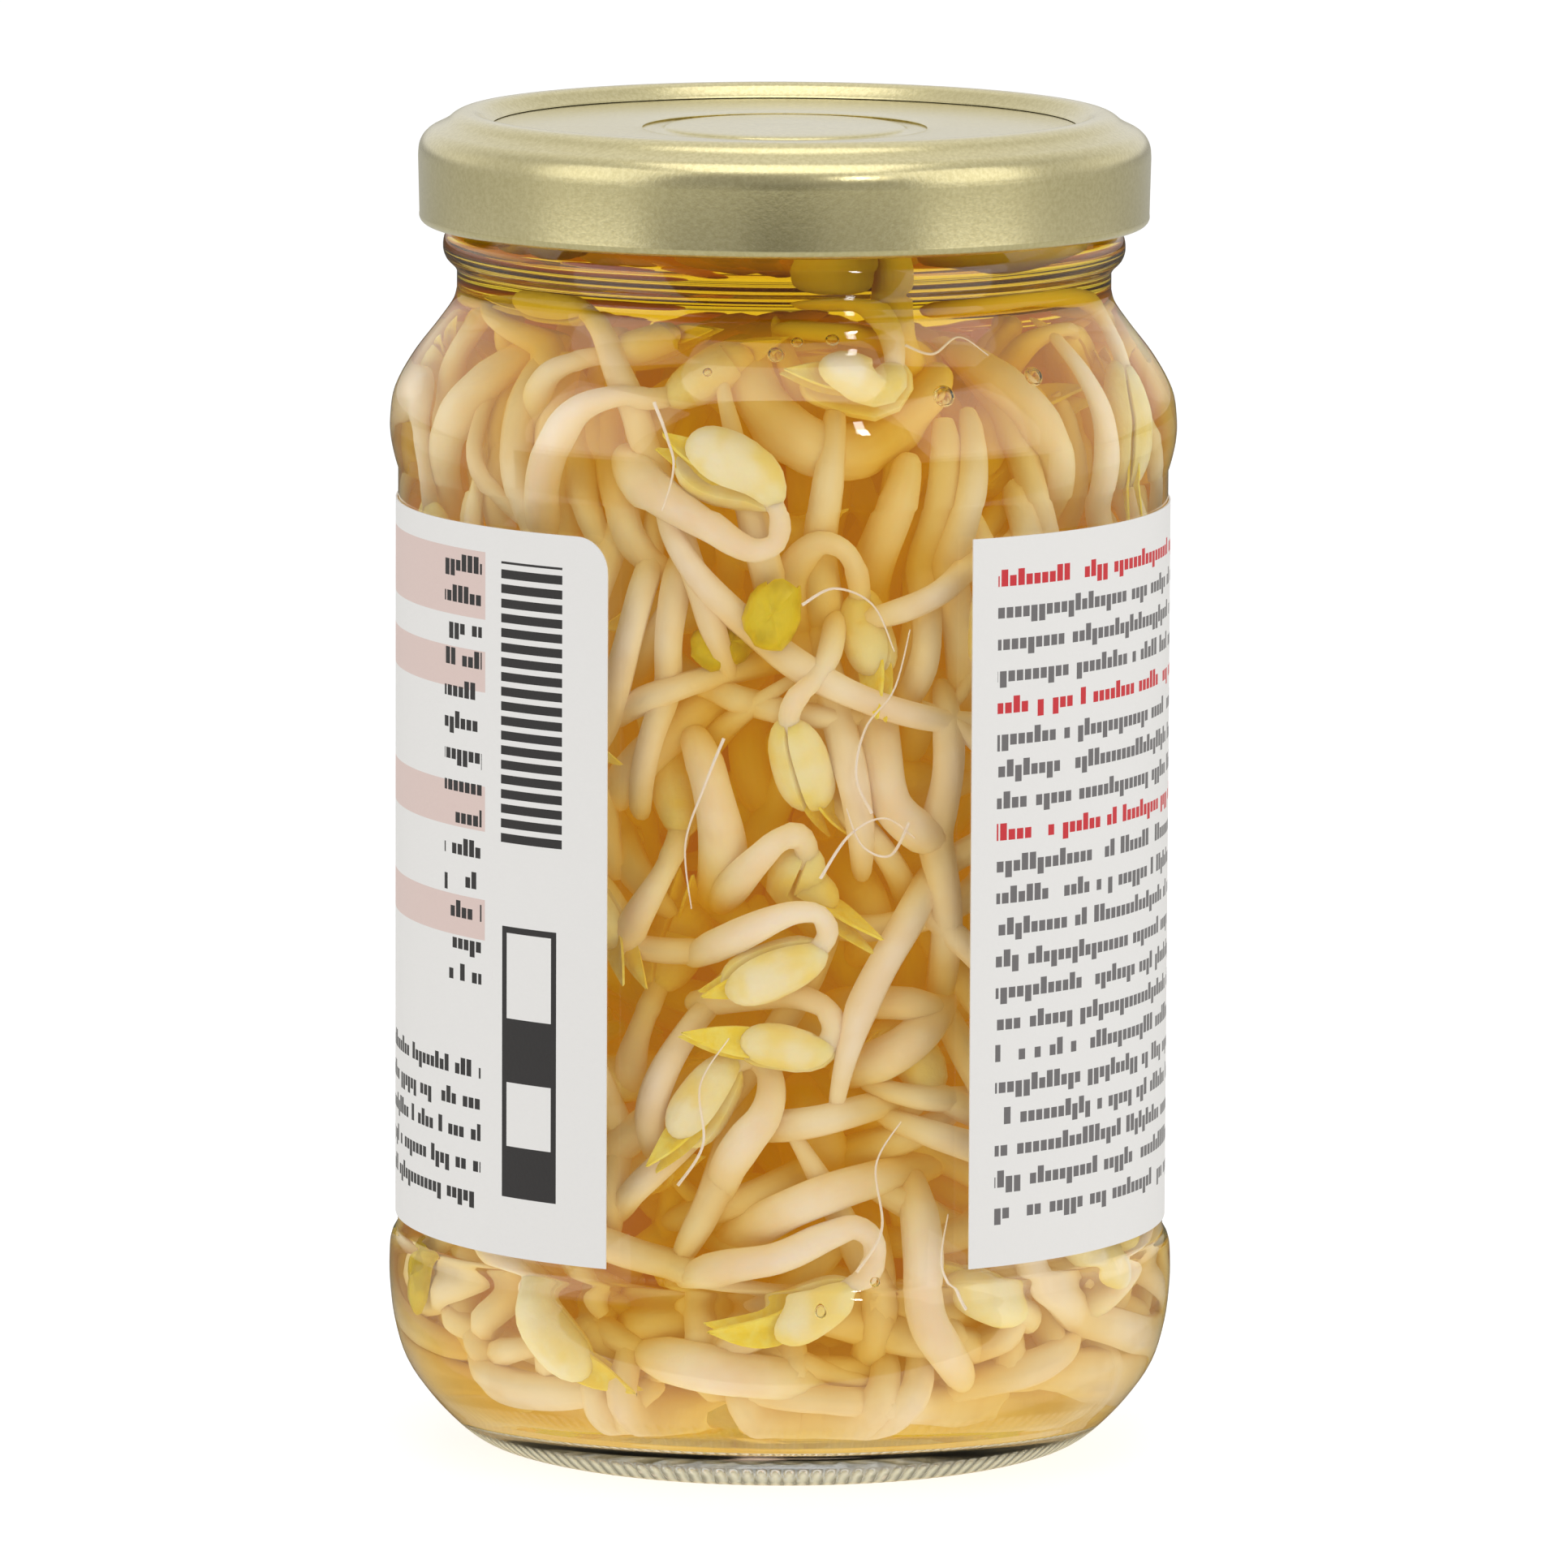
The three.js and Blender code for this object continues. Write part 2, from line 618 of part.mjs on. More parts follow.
const FRONT = [
  // hooks and cut stems lying flat against the glass in the gap of the label
  [WHOLE, SIDE_ON, [[-17, 49.5], [-8, 52], [0, 54.2], [5.5, 54.6], [7.6, 52.6], [5, 50.6],
    [-3, 48.6], [-14, 46.2]]],
  [WHOLE, SIDE_ON, [[-17, 45.2], [-8, 46], [1, 46.4], [7, 45.6], [8.8, 43.6], [6, 41.4],
    [-2, 41.9], [-14, 42.8]]],
  [WHOLE, SIDE_ON, [[-13, 54], [-8, 57], [-3, 60], [1, 61.8], [4.2, 61], [3.6, 58.6], [2, 57],
    [8, 54.6], [14, 51.8]]],
  [WHOLE, SIDE_ON, [[-11, 26], [-9.5, 29.5], [-6, 32.8], [-2, 36], [-2.2, 39.4], [-6, 40.6],
    [-10, 38.8], [-15.5, 34], [-20.5, 30]]],
  [WHOLE, SIDE_ON, [[-18, 18.6], [-9, 20.8], [0, 22], [7, 23.8], [12.5, 24.8], [15.6, 23.2],
    [14.6, 20.4], [10, 18.4], [-1, 15.6], [-9, 15.4]]],
  [WHOLE, SIDE_ON, [[-31, 96], [-20, 93], [-12, 90.6], [-6, 88.6], [-1.6, 88.8], [-0.6, 91.6],
    [-4, 94.6], [-13, 96.2], [-21, 98.8]]],
  [WHOLE, SIDE_ON, [[3, 111.2], [9, 111.8], [16, 111.2], [20.3, 108], [20.8, 103.8],
    [18, 101.2], [9, 102.4], [-1, 103.4]]],
  [STOUT, SIDE_ON, [[-17, 71], [-13, 67.5], [-10.6, 62.5], [-10.8, 58.5], [-13, 55.5],
    [-17, 52.6]]],
  [WHOLE, FACE_ON, [[10, 82], [7, 77.5], [2.5, 74.8], [1.2, 72.4], [4, 67], [7.4, 61]]],
  [WHOLE, SIDE_ON, [[10.4, 60.5], [8.4, 70], [5, 76.5], [2, 81.5], [1.8, 85.8], [6, 89],
    [12, 87.4], [15.6, 80], [17, 73]]],
  [STOUT, SIDE_ON, [[24, 96], [20, 91], [17.2, 85], [17, 77], [17.2, 69.5], [18.6, 64.5],
    [24, 61.8], [31, 60]]],
  [WHOLE, SIDE_ON, [[25.2, 66.5], [24.6, 74], [24.4, 82], [25.2, 87.4], [29.2, 91.8], [34.8, 91.6],
    [38, 86.5], [39, 78], [39.4, 73]]],
  [STOUT, SIDE_ON, [[-7, 104], [-5.5, 100.6], [-1, 98.3], [6, 96.7], [14, 96.3], [22, 97.4],
    [29, 99.5], [34, 101.6]]],
  [STOUT, SIDE_ON, [[-27, 12.3], [-16, 12], [-6, 11.3], [3, 10.7], [9, 10.3]]],
  [CUT, SIDE_ON, [[25, 29], [24.6, 22], [24.6, 16.8], [28, 13.6], [34, 10.8], [40, 9.4]]],
  [WHOLE, FACE_ON, [[-29, 36.5], [-26.5, 41], [-24.6, 44.6], [-21, 52], [-18.4, 57]]],
  [WHOLE, SIDE_ON, [[-12, 92.5], [-11, 89], [-10.6, 85.5], [-13, 83], [-22, 82.2], [-32, 80.6]]],
  [STOUT, SIDE_ON, [[-4, 42.2], [-10, 40.2], [-18, 36.8], [-26, 33.2], [-34, 29.6]]],
  [STOUT, SIDE_ON, [[-11, 21.6], [-5, 24], [3, 26.8], [12, 28.4], [22, 28.9], [34, 29.4]]],
  [CUT, SIDE_ON, [[10.5, 45], [17, 45.4], [24, 45.2], [30, 44.4]]],
  [STOUT, SIDE_ON, [[35, 46], [28, 43.4], [20, 40.8], [11.6, 38]]],
  [STOUT, SIDE_ON, [[3.8, 37.4], [6, 34.4], [9, 31.4], [12.4, 28.6]]],
  [WHOLE, SIDE_ON, [[-47, 87], [-43, 94], [-37, 99], [-29, 100.6], [-22, 100.2], [-12, 102.8],
    [-1, 106]]],
  [CUT, SIDE_ON, [[5, 62], [10, 60], [15, 57], [18, 53], [16.6, 50], [12, 48.4]]],
  [STOUT, SIDE_ON, [[-4, 79.6], [-10, 75.6], [-18, 72.2], [-26, 68], [-33, 63.6]]],
  [CUT, SIDE_ON, [[-5, 79], [-7, 74.6], [-7, 69], [-4.6, 65], [-1, 62.4]]],
  [STOUT, SIDE_ON, [[8, 62.4], [16, 60.4], [24, 57.8], [33, 54.6]]],
  [CUT, SIDE_ON, [[39, 96.5], [32, 94.2], [26, 91.6], [22, 87.6], [20.6, 82.8]]],
  [WHOLE, SIDE_ON, [[-23, 80], [-17, 84.4], [-9, 87.6], [2, 89.4], [12, 92.6]]],
  [WHOLE, SIDE_ON, [[-52, 97], [-46, 101.6], [-39, 103.2], [-34, 103.6], [-24, 105.6],
    [-14, 107.4]]],
  [CUT, SIDE_ON, [[-38, 97.4], [-31, 93], [-27, 88.6], [-22, 85.8]]],
  [WHOLE, SIDE_ON, [[-31, 49], [-25, 53.4], [-20.4, 58], [-19, 62], [-21.5, 66.6], [-27, 72.4]]],
  [ROOTED, SIDE_ON, [[-42, 25.6], [-36, 27], [-31, 27.8], [-22, 29.4], [-15, 31]]],
  [WHOLE, SIDE_ON, [[-47, 38.4], [-39, 37.6], [-33, 37.4], [-23, 38.2], [-15, 39.6]]],
  [WHOLE, SIDE_ON, [[9, 33], [16, 33.2], [23, 34.4], [27.5, 37.6], [24.6, 40.8], [18.5, 41.2],
    [13.6, 38.6]]],
  [CUT, SIDE_ON, [[19, 28], [18.6, 22], [18.2, 16], [17.4, 10.6]]],
  [ROOTED, SIDE_ON, [[52, 14], [46, 15.4], [40, 16.6], [32, 18.6], [24, 21.4]]],
  [WHOLE, SIDE_ON, [[-66, 20.4], [-52, 19.4], [-46, 18], [-44, 14.6], [-37, 11.4], [-29, 9.8]]],
  [CUT, SIDE_ON, [[24, 116], [23.6, 110], [24.4, 104.6], [30, 101.2], [38, 99]]],
  [ROOT, SIDE_ON, [[-2, 109], [0, 104], [4, 100], [9, 96.6], [16, 93]]],
  [CUT, SIDE_ON, [[5.5, 22], [5, 27.4], [2.4, 31.8], [-2.4, 33.4], [-7, 31.6]]],
];

// ---- Sprouts: all round -------------------------------------------------------------------

const ROUND_COUNT = 44;
const FRONT_SHARE = 40; // degrees each side of the front that are already full
const BANDS = [[93, 110], [11, 24], [93, 110], [28, 88]]; // heights, taken in turn
const TRIES = 60;
const DEEPEST = 9.5;
const EASIEST = 5.5; // the depth that the first try may use
const HOOK_RADIUS = 4.4;
const LOWEST_LINE = 9.5;
const HIGHEST_LINE = 113.5;

/** A line that starts somewhere, wanders gently, and may hook round before its head. */
function wanderingLine(angle, height, form) {
  const line = [[angle, height]];
  let heading = draw(0, 2 * Math.PI);
  const bend = draw(-0.035, 0.035);
  const stemLength = draw(18, 30);
  const hookTurn = form.head ? draw(0.4, 3) * Math.sign(bend) : 0;
  const hookLength = Math.abs(hookTurn) * HOOK_RADIUS;
  const headLength = form.head ? SEED_LEAF_LENGTH + FIRST_LEAF_SHOWS : 0;
  const total = stemLength + hookLength + headLength;
  for (let along = STEP; along <= total; along += STEP) {
    const [lastAngle, lastHeight] = line[line.length - 1];
    if (along < stemLength) {
      heading += bend * STEP;
    } else if (along < stemLength + hookLength) {
      heading += (hookTurn * STEP) / hookLength;
    }
    const turn = THREE.MathUtils.radToDeg((STEP * Math.cos(heading)) / STRETCH);
    line.push([lastAngle + turn, lastHeight + STEP * Math.sin(heading)]);
  }
  return line;
}

function staysInside(line) {
  return line.every(([, height]) => height > LOWEST_LINE && height < HIGHEST_LINE);
}

function layRoundTheJar() {
  const forms = [WHOLE, CUT, ROOTED, WHOLE, STOUT, ROOT];
  for (let i = 0; i < ROUND_COUNT; i += 1) {
    const share = (i * 0.618034) % 1;
    const middle = FRONT_SHARE + share * (360 - 2 * FRONT_SHARE);
    const [low, high] = BANDS[i % BANDS.length];
    const form = { ...forms[i % forms.length], faceOn: i % 3 === 0 };
    for (let attempt = 0; attempt < TRIES; attempt += 1) {
      const line = wanderingLine(middle + draw(-12, 12), draw(low, high), form);
      const room = THREE.MathUtils.lerp(EASIEST, DEEPEST, attempt / TRIES);
      if (staysInside(line) && addSprout(line, form, room)) {
        break;
      }
    }
  }
}

// ---- Sprouts: their shape -----------------------------------------------------------------
// A sprout is one lofted bar: a stem with a root end or a cut end, a thin neck, two seed
// leaves side by side with a groove between them, and the point of the first leaves.

const STEM_SIDES = 5;
const HEAD_SIDES = 6;
const SEED_LEAF_ROWS = [0.12, 0.45, 0.88]; // shares of the head's length
const LEAF_EDGE_SHARE = 0.85; // of the head's half width, at the outer corners
const GROOVE_SHARE = 0.6; // and at the bottom of the groove
const MOST_SAG = 0.35; // that a straight stretch of a stem may cut off a bend
const LONGEST_STRETCH = 6; // stations

/** Every sprout of a bunch as one solid. */
function bunchSolid(bunch) {
  return joined(bunch.map((sprout) => solidOf(sproutBar(sprout))));
}

function sproutBar({ places, radii, head, faceOn }) {
  const last = places.length - 1;
  const headStart = last - (FIRST_LEAF_SHOWS + SEED_LEAF_LENGTH + 1) / STEP;
  const end = head ? Math.floor(headStart) : last;
  const kept = stemStations(places, end);
  const sides = head ? HEAD_SIDES : STEM_SIDES;
  const points = kept.map((i) => places[i]);
  const rings = kept.map((i) => ellipseRing(radii[i], radii[i], sides));
  if (head) {
    SEED_LEAF_ROWS.forEach((share) => {
      points.push(placeFromTip(places, FIRST_LEAF_SHOWS + SEED_LEAF_LENGTH * (1 - share)));
      rings.push(seedLeafRing(Math.sqrt(Math.sin(Math.PI * share)), faceOn));
    });
    points.push(placeFromTip(places, FIRST_LEAF_SHOWS / 2));
    rings.push(ellipseRing(FIRST_LEAF_WIDE, FIRST_LEAF_THICK, sides));
    points.push(places[last]);
    rings.push(ellipseRing(FIRST_LEAF_TIP, FIRST_LEAF_TIP, sides));
  }
  return loftedBar(points, rings);
}

/** The place on a line at a distance from its tip. */
function placeFromTip(places, distance) {
  const position = places.length - 1 - distance / STEP;
  const before = Math.floor(position);
  return places[before].clone().lerp(places[before + 1], position - before);
}

/** One ring round both seed leaves: with the groove outwards, or with one leaf outwards. */
function seedLeafRing(swell, faceOn) {
  const across = SEED_LEAF_HALF_THICK * 2 * swell;
  const wide = SEED_LEAF_HALF_WIDE * swell;
  if (!faceOn) {
    return ellipseRing(wide, across, HEAD_SIDES);
  }
  const corner = wide * LEAF_EDGE_SHARE;
  const groove = wide * GROOVE_SHARE;
  return [
    [0, groove], [across, corner], [across, -corner],
    [0, -groove], [-across, -corner], [-across, corner],
  ];
}

/** The stations that a faceted stem needs: close together in bends, far apart elsewhere. */
function stemStations(places, end) {
  const kept = [0];
  let from = 0;
  for (let i = 2; i <= end; i += 1) {
    const chord = new THREE.Line3(places[from], places[i]);
    let sag = 0;
    for (let j = from + 1; j < i; j += 1) {
      const foot = chord.closestPointToPoint(places[j], true, new THREE.Vector3());
      sag = Math.max(sag, foot.distanceTo(places[j]));
    }
    if (sag > MOST_SAG || i - from > LONGEST_STRETCH) {
      kept.push(i - 1);
      from = i - 1;
    }
  }
  kept.push(end);
  return kept;
}

// ---- Seed coats ---------------------------------------------------------------------------
// Olive skins that came off the beans, lying loose among the sprouts, cupped like half beans.

// Each is given by its angle, its height and the lean of its length.
const COATS = [[-1.5, 82.6, 75], [-10.6, 79.4, 20], [96, 101, 40], [201, 103, 110], [282, 16, 60]];

const COAT_ROOM = 2.2; // radius that a seed coat fits in, at its middle and its ends

/** Lays one seed coat flat to the glass. */
function layCoat([angle, height, lean], i) {
  const radii = [COAT_ROOM, COAT_ROOM, COAT_ROOM];
  const bunch = `coat ${i}`;
  const places = layDown(coatLine(angle, height, lean), radii, bunch, DEEPEST);
  places.forEach((place) => stations.push({ place, radius: COAT_ROOM, bunch }));
  return places;
}

function coatLine(angle, height, lean) {
  const across = THREE.MathUtils.radToDeg((STEP * Math.cos(radians(lean))) / STRETCH);
  const rise = STEP * Math.sin(radians(lean));
  return [-1, 0, 1].map((step) => [angle + step * across, height + step * rise]);
}

function coatSolid([before, middle, after]) {
  const outwards = new THREE.Vector3(middle.x, middle.y, 0).normalize();
  const axis = after.clone().sub(before).normalize();
  const across = new THREE.Vector3().crossVectors(axis, outwards).normalize();
  const front = new THREE.Vector3().crossVectors(across, axis);
  const section = [
    [0, COAT_DEEP], [0.7, COAT_DEEP * 0.72], [1, 0], [0.72, 0],
    [0.48, COAT_DEEP * 0.72 - COAT_SKIN], [0, COAT_DEEP - COAT_SKIN],
  ];
  const geometry = turned(section.reverse(), 8);
  geometry.scale(COAT_HALF[0], COAT_HALF[1], 1);
  geometry.applyMatrix4(new THREE.Matrix4().makeBasis(across, axis, front));
  geometry.translate(middle.x, middle.y, middle.z);
  return geometry;
}

// ---- Assembly -----------------------------------------------------------------------------

addNode('jar_glass', jarGlass(), glass);
addNode('lid', lid(), goldLacquer);
addNode('sealing_ring', sealingRing(), compound);
addNode('label', label(), paper);
addNode('brine', brine(), liquid);

const coatPlaces = COATS.map(layCoat);
FRONT.forEach(([form, faceOn, points]) => {
  if (!addSprout(spacedStations(points), { ...form, faceOn }, DEEPEST_AT_FRONT)) {
    throw new Error(`no room for the sprout that starts at ${points[0]}`);
  }
});
layRoundTheJar();

bunches.forEach((bunch, i) => {
  const number = String(i + 1).padStart(2, '0');
  addNode(`sprouts_${number}`, geometryOf(bunchSolid(bunch)), sproutFlesh);
});
coatPlaces.forEach((places, i) => {
  addNode(`seed_coat_${i + 1}`, coatSolid(places), seedCoat);
});

export default object;
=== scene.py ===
import json
import math

import bmesh
import bpy
import numpy as np
from mathutils import Matrix, Vector

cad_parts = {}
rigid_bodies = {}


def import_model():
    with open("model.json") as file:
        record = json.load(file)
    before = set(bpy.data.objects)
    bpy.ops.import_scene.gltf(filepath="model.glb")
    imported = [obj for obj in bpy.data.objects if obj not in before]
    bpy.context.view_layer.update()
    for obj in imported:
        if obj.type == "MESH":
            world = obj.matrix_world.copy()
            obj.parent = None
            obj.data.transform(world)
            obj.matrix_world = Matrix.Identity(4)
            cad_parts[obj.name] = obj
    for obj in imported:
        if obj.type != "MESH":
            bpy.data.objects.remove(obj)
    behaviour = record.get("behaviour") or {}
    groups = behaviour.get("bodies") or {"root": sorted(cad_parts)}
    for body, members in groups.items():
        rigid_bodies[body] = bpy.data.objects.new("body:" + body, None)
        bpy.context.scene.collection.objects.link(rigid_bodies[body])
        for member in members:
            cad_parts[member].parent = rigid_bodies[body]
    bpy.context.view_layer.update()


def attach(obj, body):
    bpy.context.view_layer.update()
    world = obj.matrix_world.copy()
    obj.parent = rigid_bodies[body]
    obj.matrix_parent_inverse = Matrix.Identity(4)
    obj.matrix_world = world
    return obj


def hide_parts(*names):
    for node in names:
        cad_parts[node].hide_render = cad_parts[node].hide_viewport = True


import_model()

for leftover in {"Cube", "Light", "Camera"} & set(bpy.data.objects.keys()):
    bpy.data.objects.remove(bpy.data.objects[leftover])

# ---- Glass jar ------------------------------------------------------------------------------
# Flint glass blown in one piece: a foot ring round a pushed-up base, a round heel, bumper rings
# above and below the label panel, a sloping shoulder, a bead and four thread starts.
# Lengths in this script are millimetres until a mesh is made, and angles are from the front.

MM = 0.001
AROUND = 128
BODY_RADIUS = 36.95
PANEL_RADIUS = 36.2
PANEL_BOTTOM = 20.0
PANEL_TOP = 92.0
NECK_RADIUS = 30.7
BEAD_RADIUS = 32.0
FINISH_RADIUS = 31.0
MOUTH_RADIUS = 28.3
RIM_HEIGHT = 123.6
RIM_ROUND = 0.8
WALL = 2.1
LUG_COUNT = 4
LUG_FIRST_ANGLE = -27.0
LUG_BOTTOM = 115.3
LUG_THICK = 1.1
THREAD_RISE_PER_TURN = 11.94
THREAD_RADIUS = 1.1
THREAD_BEFORE = 8.0
THREAD_AFTER = 50.0
THREAD_OVER_LUG = 0.65
CLEAR = (1, 1, 1, 1)
GLASS_TINT = (0.955, 0.975, 0.96, 1)
GLASS_IOR = 1.5
STIPPLE_GREEN = (0.76, 0.73, 0.54, 1)
KNURL_COUNT = 150
KNURL_HEIGHT = 0.25
GLASS_WAVES = 0.16

FOOT = [(0, 2.8), (12, 2.6), (20, 2.05), (24.4, 1.25), (26.2, 0.35), (27.2, 0)]
HEEL = [(28.0, 0), (29.2, 0.45), (30.9, 1.75), (33.3, 4.3), (35.4, 7.4), (36.5, 11),
        (BODY_RADIUS, 14.8), (BODY_RADIUS, 17.6), (36.75, 18.9), (36.3, 19.7)]
SHOULDER = [(36.3, 92.3), (36.6, 93.4), (36.9, 95), (BODY_RADIUS, 96.8), (36.5, 99.5),
            (34.8, 102.6), (32.5, 105.6), (31.1, 107.6), (NECK_RADIUS, 108.9)]
BEAD = [(NECK_RADIUS, 110.6), (31.0, 111.1), (31.7, 111.8), (BEAD_RADIUS, 112.7),
        (BEAD_RADIUS - 0.1, 113.7), (31.5, 114.4), (FINISH_RADIUS, 114.9)]
CAVITY = [(0, 6.2), (24, 4.8), (28.2, 5.4), (31.5, 8.2), (33.5, 12.2),
          (PANEL_RADIUS - WALL, 17.5), (PANEL_RADIUS - WALL, PANEL_TOP), (34.3, 97),
          (32.9, 101), (30, 105), (MOUTH_RADIUS, 109.5)]


def smooth_line(controls, shares):
    """Points at shares of the way along a smooth line through a few given points."""
    points = np.array(controls, float)
    last = len(points) - 1
    position = np.asarray(shares, float) * last
    start = np.minimum(np.floor(position).astype(int), last)
    share = (position - start)[:, None]
    before = points[np.maximum(start - 1, 0)]
    here = points[start]
    after = points[np.minimum(start + 1, last)]
    beyond = points[np.minimum(start + 2, last)]
    leaving = (after - before) / 2
    arriving = (beyond - here) / 2
    cube = (2 * here - 2 * after + leaving + arriving) * share**3
    square = (-3 * here + 3 * after - 2 * leaving - arriving) * share**2
    return cube + square + leaving * share + here


def outline(controls, pieces):
    """The same as a list of evenly shared points."""
    return smooth_line(controls, np.linspace(0, 1, pieces + 1)).tolist()


def turned(section, steps=AROUND):
    """A bmesh turned about the jar's axis from its half section, given as (radius, height)."""
    shape = bmesh.new()
    corners = [shape.verts.new((radius * MM, 0, height * MM)) for radius, height in section]
    edges = [shape.edges.new(pair) for pair in zip(corners, corners[1:])]
    if section[0][0] > 0:
        edges.append(shape.edges.new((corners[-1], corners[0])))
    bmesh.ops.spin(shape, geom=corners + edges, cent=(0, 0, 0), axis=(0, 0, 1),
                   angle=2 * math.pi, steps=steps, use_merge=True)
    bmesh.ops.remove_doubles(shape, verts=shape.verts, dist=1e-7)
    bmesh.ops.recalc_face_normals(shape, faces=shape.faces)
    return shape


def around(angle, radius, height):
    """The point at an angle round the jar, a radius and a height."""
    turn = math.radians(angle)
    return (radius * math.sin(turn), -radius * math.cos(turn), height)


def thicken(shape, thickness):
    """Gives an open sheet a thickness, with its faces turned the right way before and after."""
    bmesh.ops.recalc_face_normals(shape, faces=shape.faces)
    bmesh.ops.solidify(shape, geom=shape.faces[:], thickness=thickness)
    bmesh.ops.recalc_face_normals(shape, faces=shape.faces)


def directions_along(places):
    """Sideways and outward directions along a line of points, carried on without twisting."""
    ahead = np.gradient(places, axis=0)
    ahead /= np.linalg.norm(ahead, axis=1)[:, None]
    outward = np.array([places[0][0], places[0][1], 0.0])
    side = np.cross(outward, ahead[0])
    sides = []
    for step in ahead:
        side = side - step * np.dot(side, step)
        side = side / np.linalg.norm(side)
        sides.append(side)
    sides = np.array(sides)
    return sides, np.cross(sides, ahead)


def mesh_of(shape, name):
    """Turns a bmesh into a mesh."""
    mesh = bpy.data.meshes.new(name)
    shape.to_mesh(mesh)
    shape.free()
    return mesh


BARS = {}


def straight_bar(stations, corners):
    """A closed bar with one round of corners at each whole height, for bending."""
    if (stations, corners) not in BARS:
        shape = bmesh.new()
        bmesh.ops.create_circle(shape, cap_ends=False, segments=corners, radius=1)
        edges = shape.edges[:]
        for _ in range(stations - 1):
            grown = bmesh.ops.extrude_edge_only(shape, edges=edges)["geom"]
            rising = [part for part in grown if isinstance(part, bmesh.types.BMVert)]
            edges = [part for part in grown if isinstance(part, bmesh.types.BMEdge)]
            bmesh.ops.translate(shape, verts=rising, vec=(0, 0, 1))
        bmesh.ops.holes_fill(shape, edges=shape.edges, sides=corners)
        bmesh.ops.recalc_face_normals(shape, faces=shape.faces)
        BARS[stations, corners] = mesh_of(shape, "straight_bar")
    return BARS[stations, corners]


def corners_of(mesh):
    """The places of a mesh's corners, as an array."""
    places = np.empty(len(mesh.vertices) * 3)
    mesh.vertices.foreach_get("co", places)
    return places.reshape(-1, 3)


def add_copy(shape, mesh, places, material=0):
    """Adds a copy of a mesh to a bmesh, with its corners moved to new places."""
    copy = mesh.copy()
    copy.vertices.foreach_set("co", (np.asarray(places) * MM).ravel())
    copy.polygons.foreach_set("material_index", [material] * len(copy.polygons))
    shape.from_mesh(copy)
    bpy.data.meshes.remove(copy)


def add_bar(shape, places, wide, deep, corners=12, material=0):
    """Adds a bar bent along a line of points, with its half width and half depth at each."""
    places = np.asarray(places)
    mesh = straight_bar(len(places), corners)
    straight = corners_of(mesh)
    station = np.rint(straight[:, 2]).astype(int)
    sides, outs = directions_along(places)
    sideways = (straight[:, 0] * np.broadcast_to(wide, len(places))[station])[:, None]
    outwards = (straight[:, 1] * np.broadcast_to(deep, len(places))[station])[:, None]
    bent = places[station] + sides[station] * sideways + outs[station] * outwards
    add_copy(shape, mesh, bent, material)


def made(shape, name, materials, sharp=40):
    """A bmesh as a smooth-shaded object that sits at the origin."""
    mesh = mesh_of(shape, name)
    mesh.shade_smooth()
    mesh.set_sharp_from_angle(angle=math.radians(sharp))
    for material in materials:
        mesh.materials.append(material)
    piece = bpy.data.objects.new(name, mesh)
    bpy.context.scene.collection.objects.link(piece)
    return piece


class Value:
    """What a node gives out. Sums on values add their Math nodes."""

    def __init__(self, finish, socket):
        self.finish = finish
        self.socket = socket

    def math(self, operation, *others):
        """A Math node that starts with this value."""
        return self.finish.math(operation, self, *others)

    def __add__(self, other):
        return self.math("ADD", other)

    def __sub__(self, other):
        return self.math("SUBTRACT", other)

    def __mul__(self, other):
        return self.math("MULTIPLY", other)

    def __truediv__(self, other):
        return self.math("DIVIDE", other)

    def __gt__(self, other):
        return self.math("GREATER_THAN", other)

    def __lt__(self, other):
        return self.math("LESS_THAN", other)

    def __rsub__(self, other):
        return self.finish.math("SUBTRACT", other, self)

    __radd__ = __add__
    __rmul__ = __mul__

    def clamped(self):
        """Kept between nothing and one."""
        return self.math("MINIMUM", 1.0).math("MAXIMUM", 0.0)

    def between(self, low, high):
        """Goes from 0 at low to 1 at high, smoothly."""
        return self.finish.add("MapRange", {"interpolation_type": "SMOOTHSTEP"},
                               {"Value": self, "From Min": low, "From Max": high})


RAY_KINDS = ["camera", "shadow", "diffuse", "glossy", "sharp", "reflected", "through"]


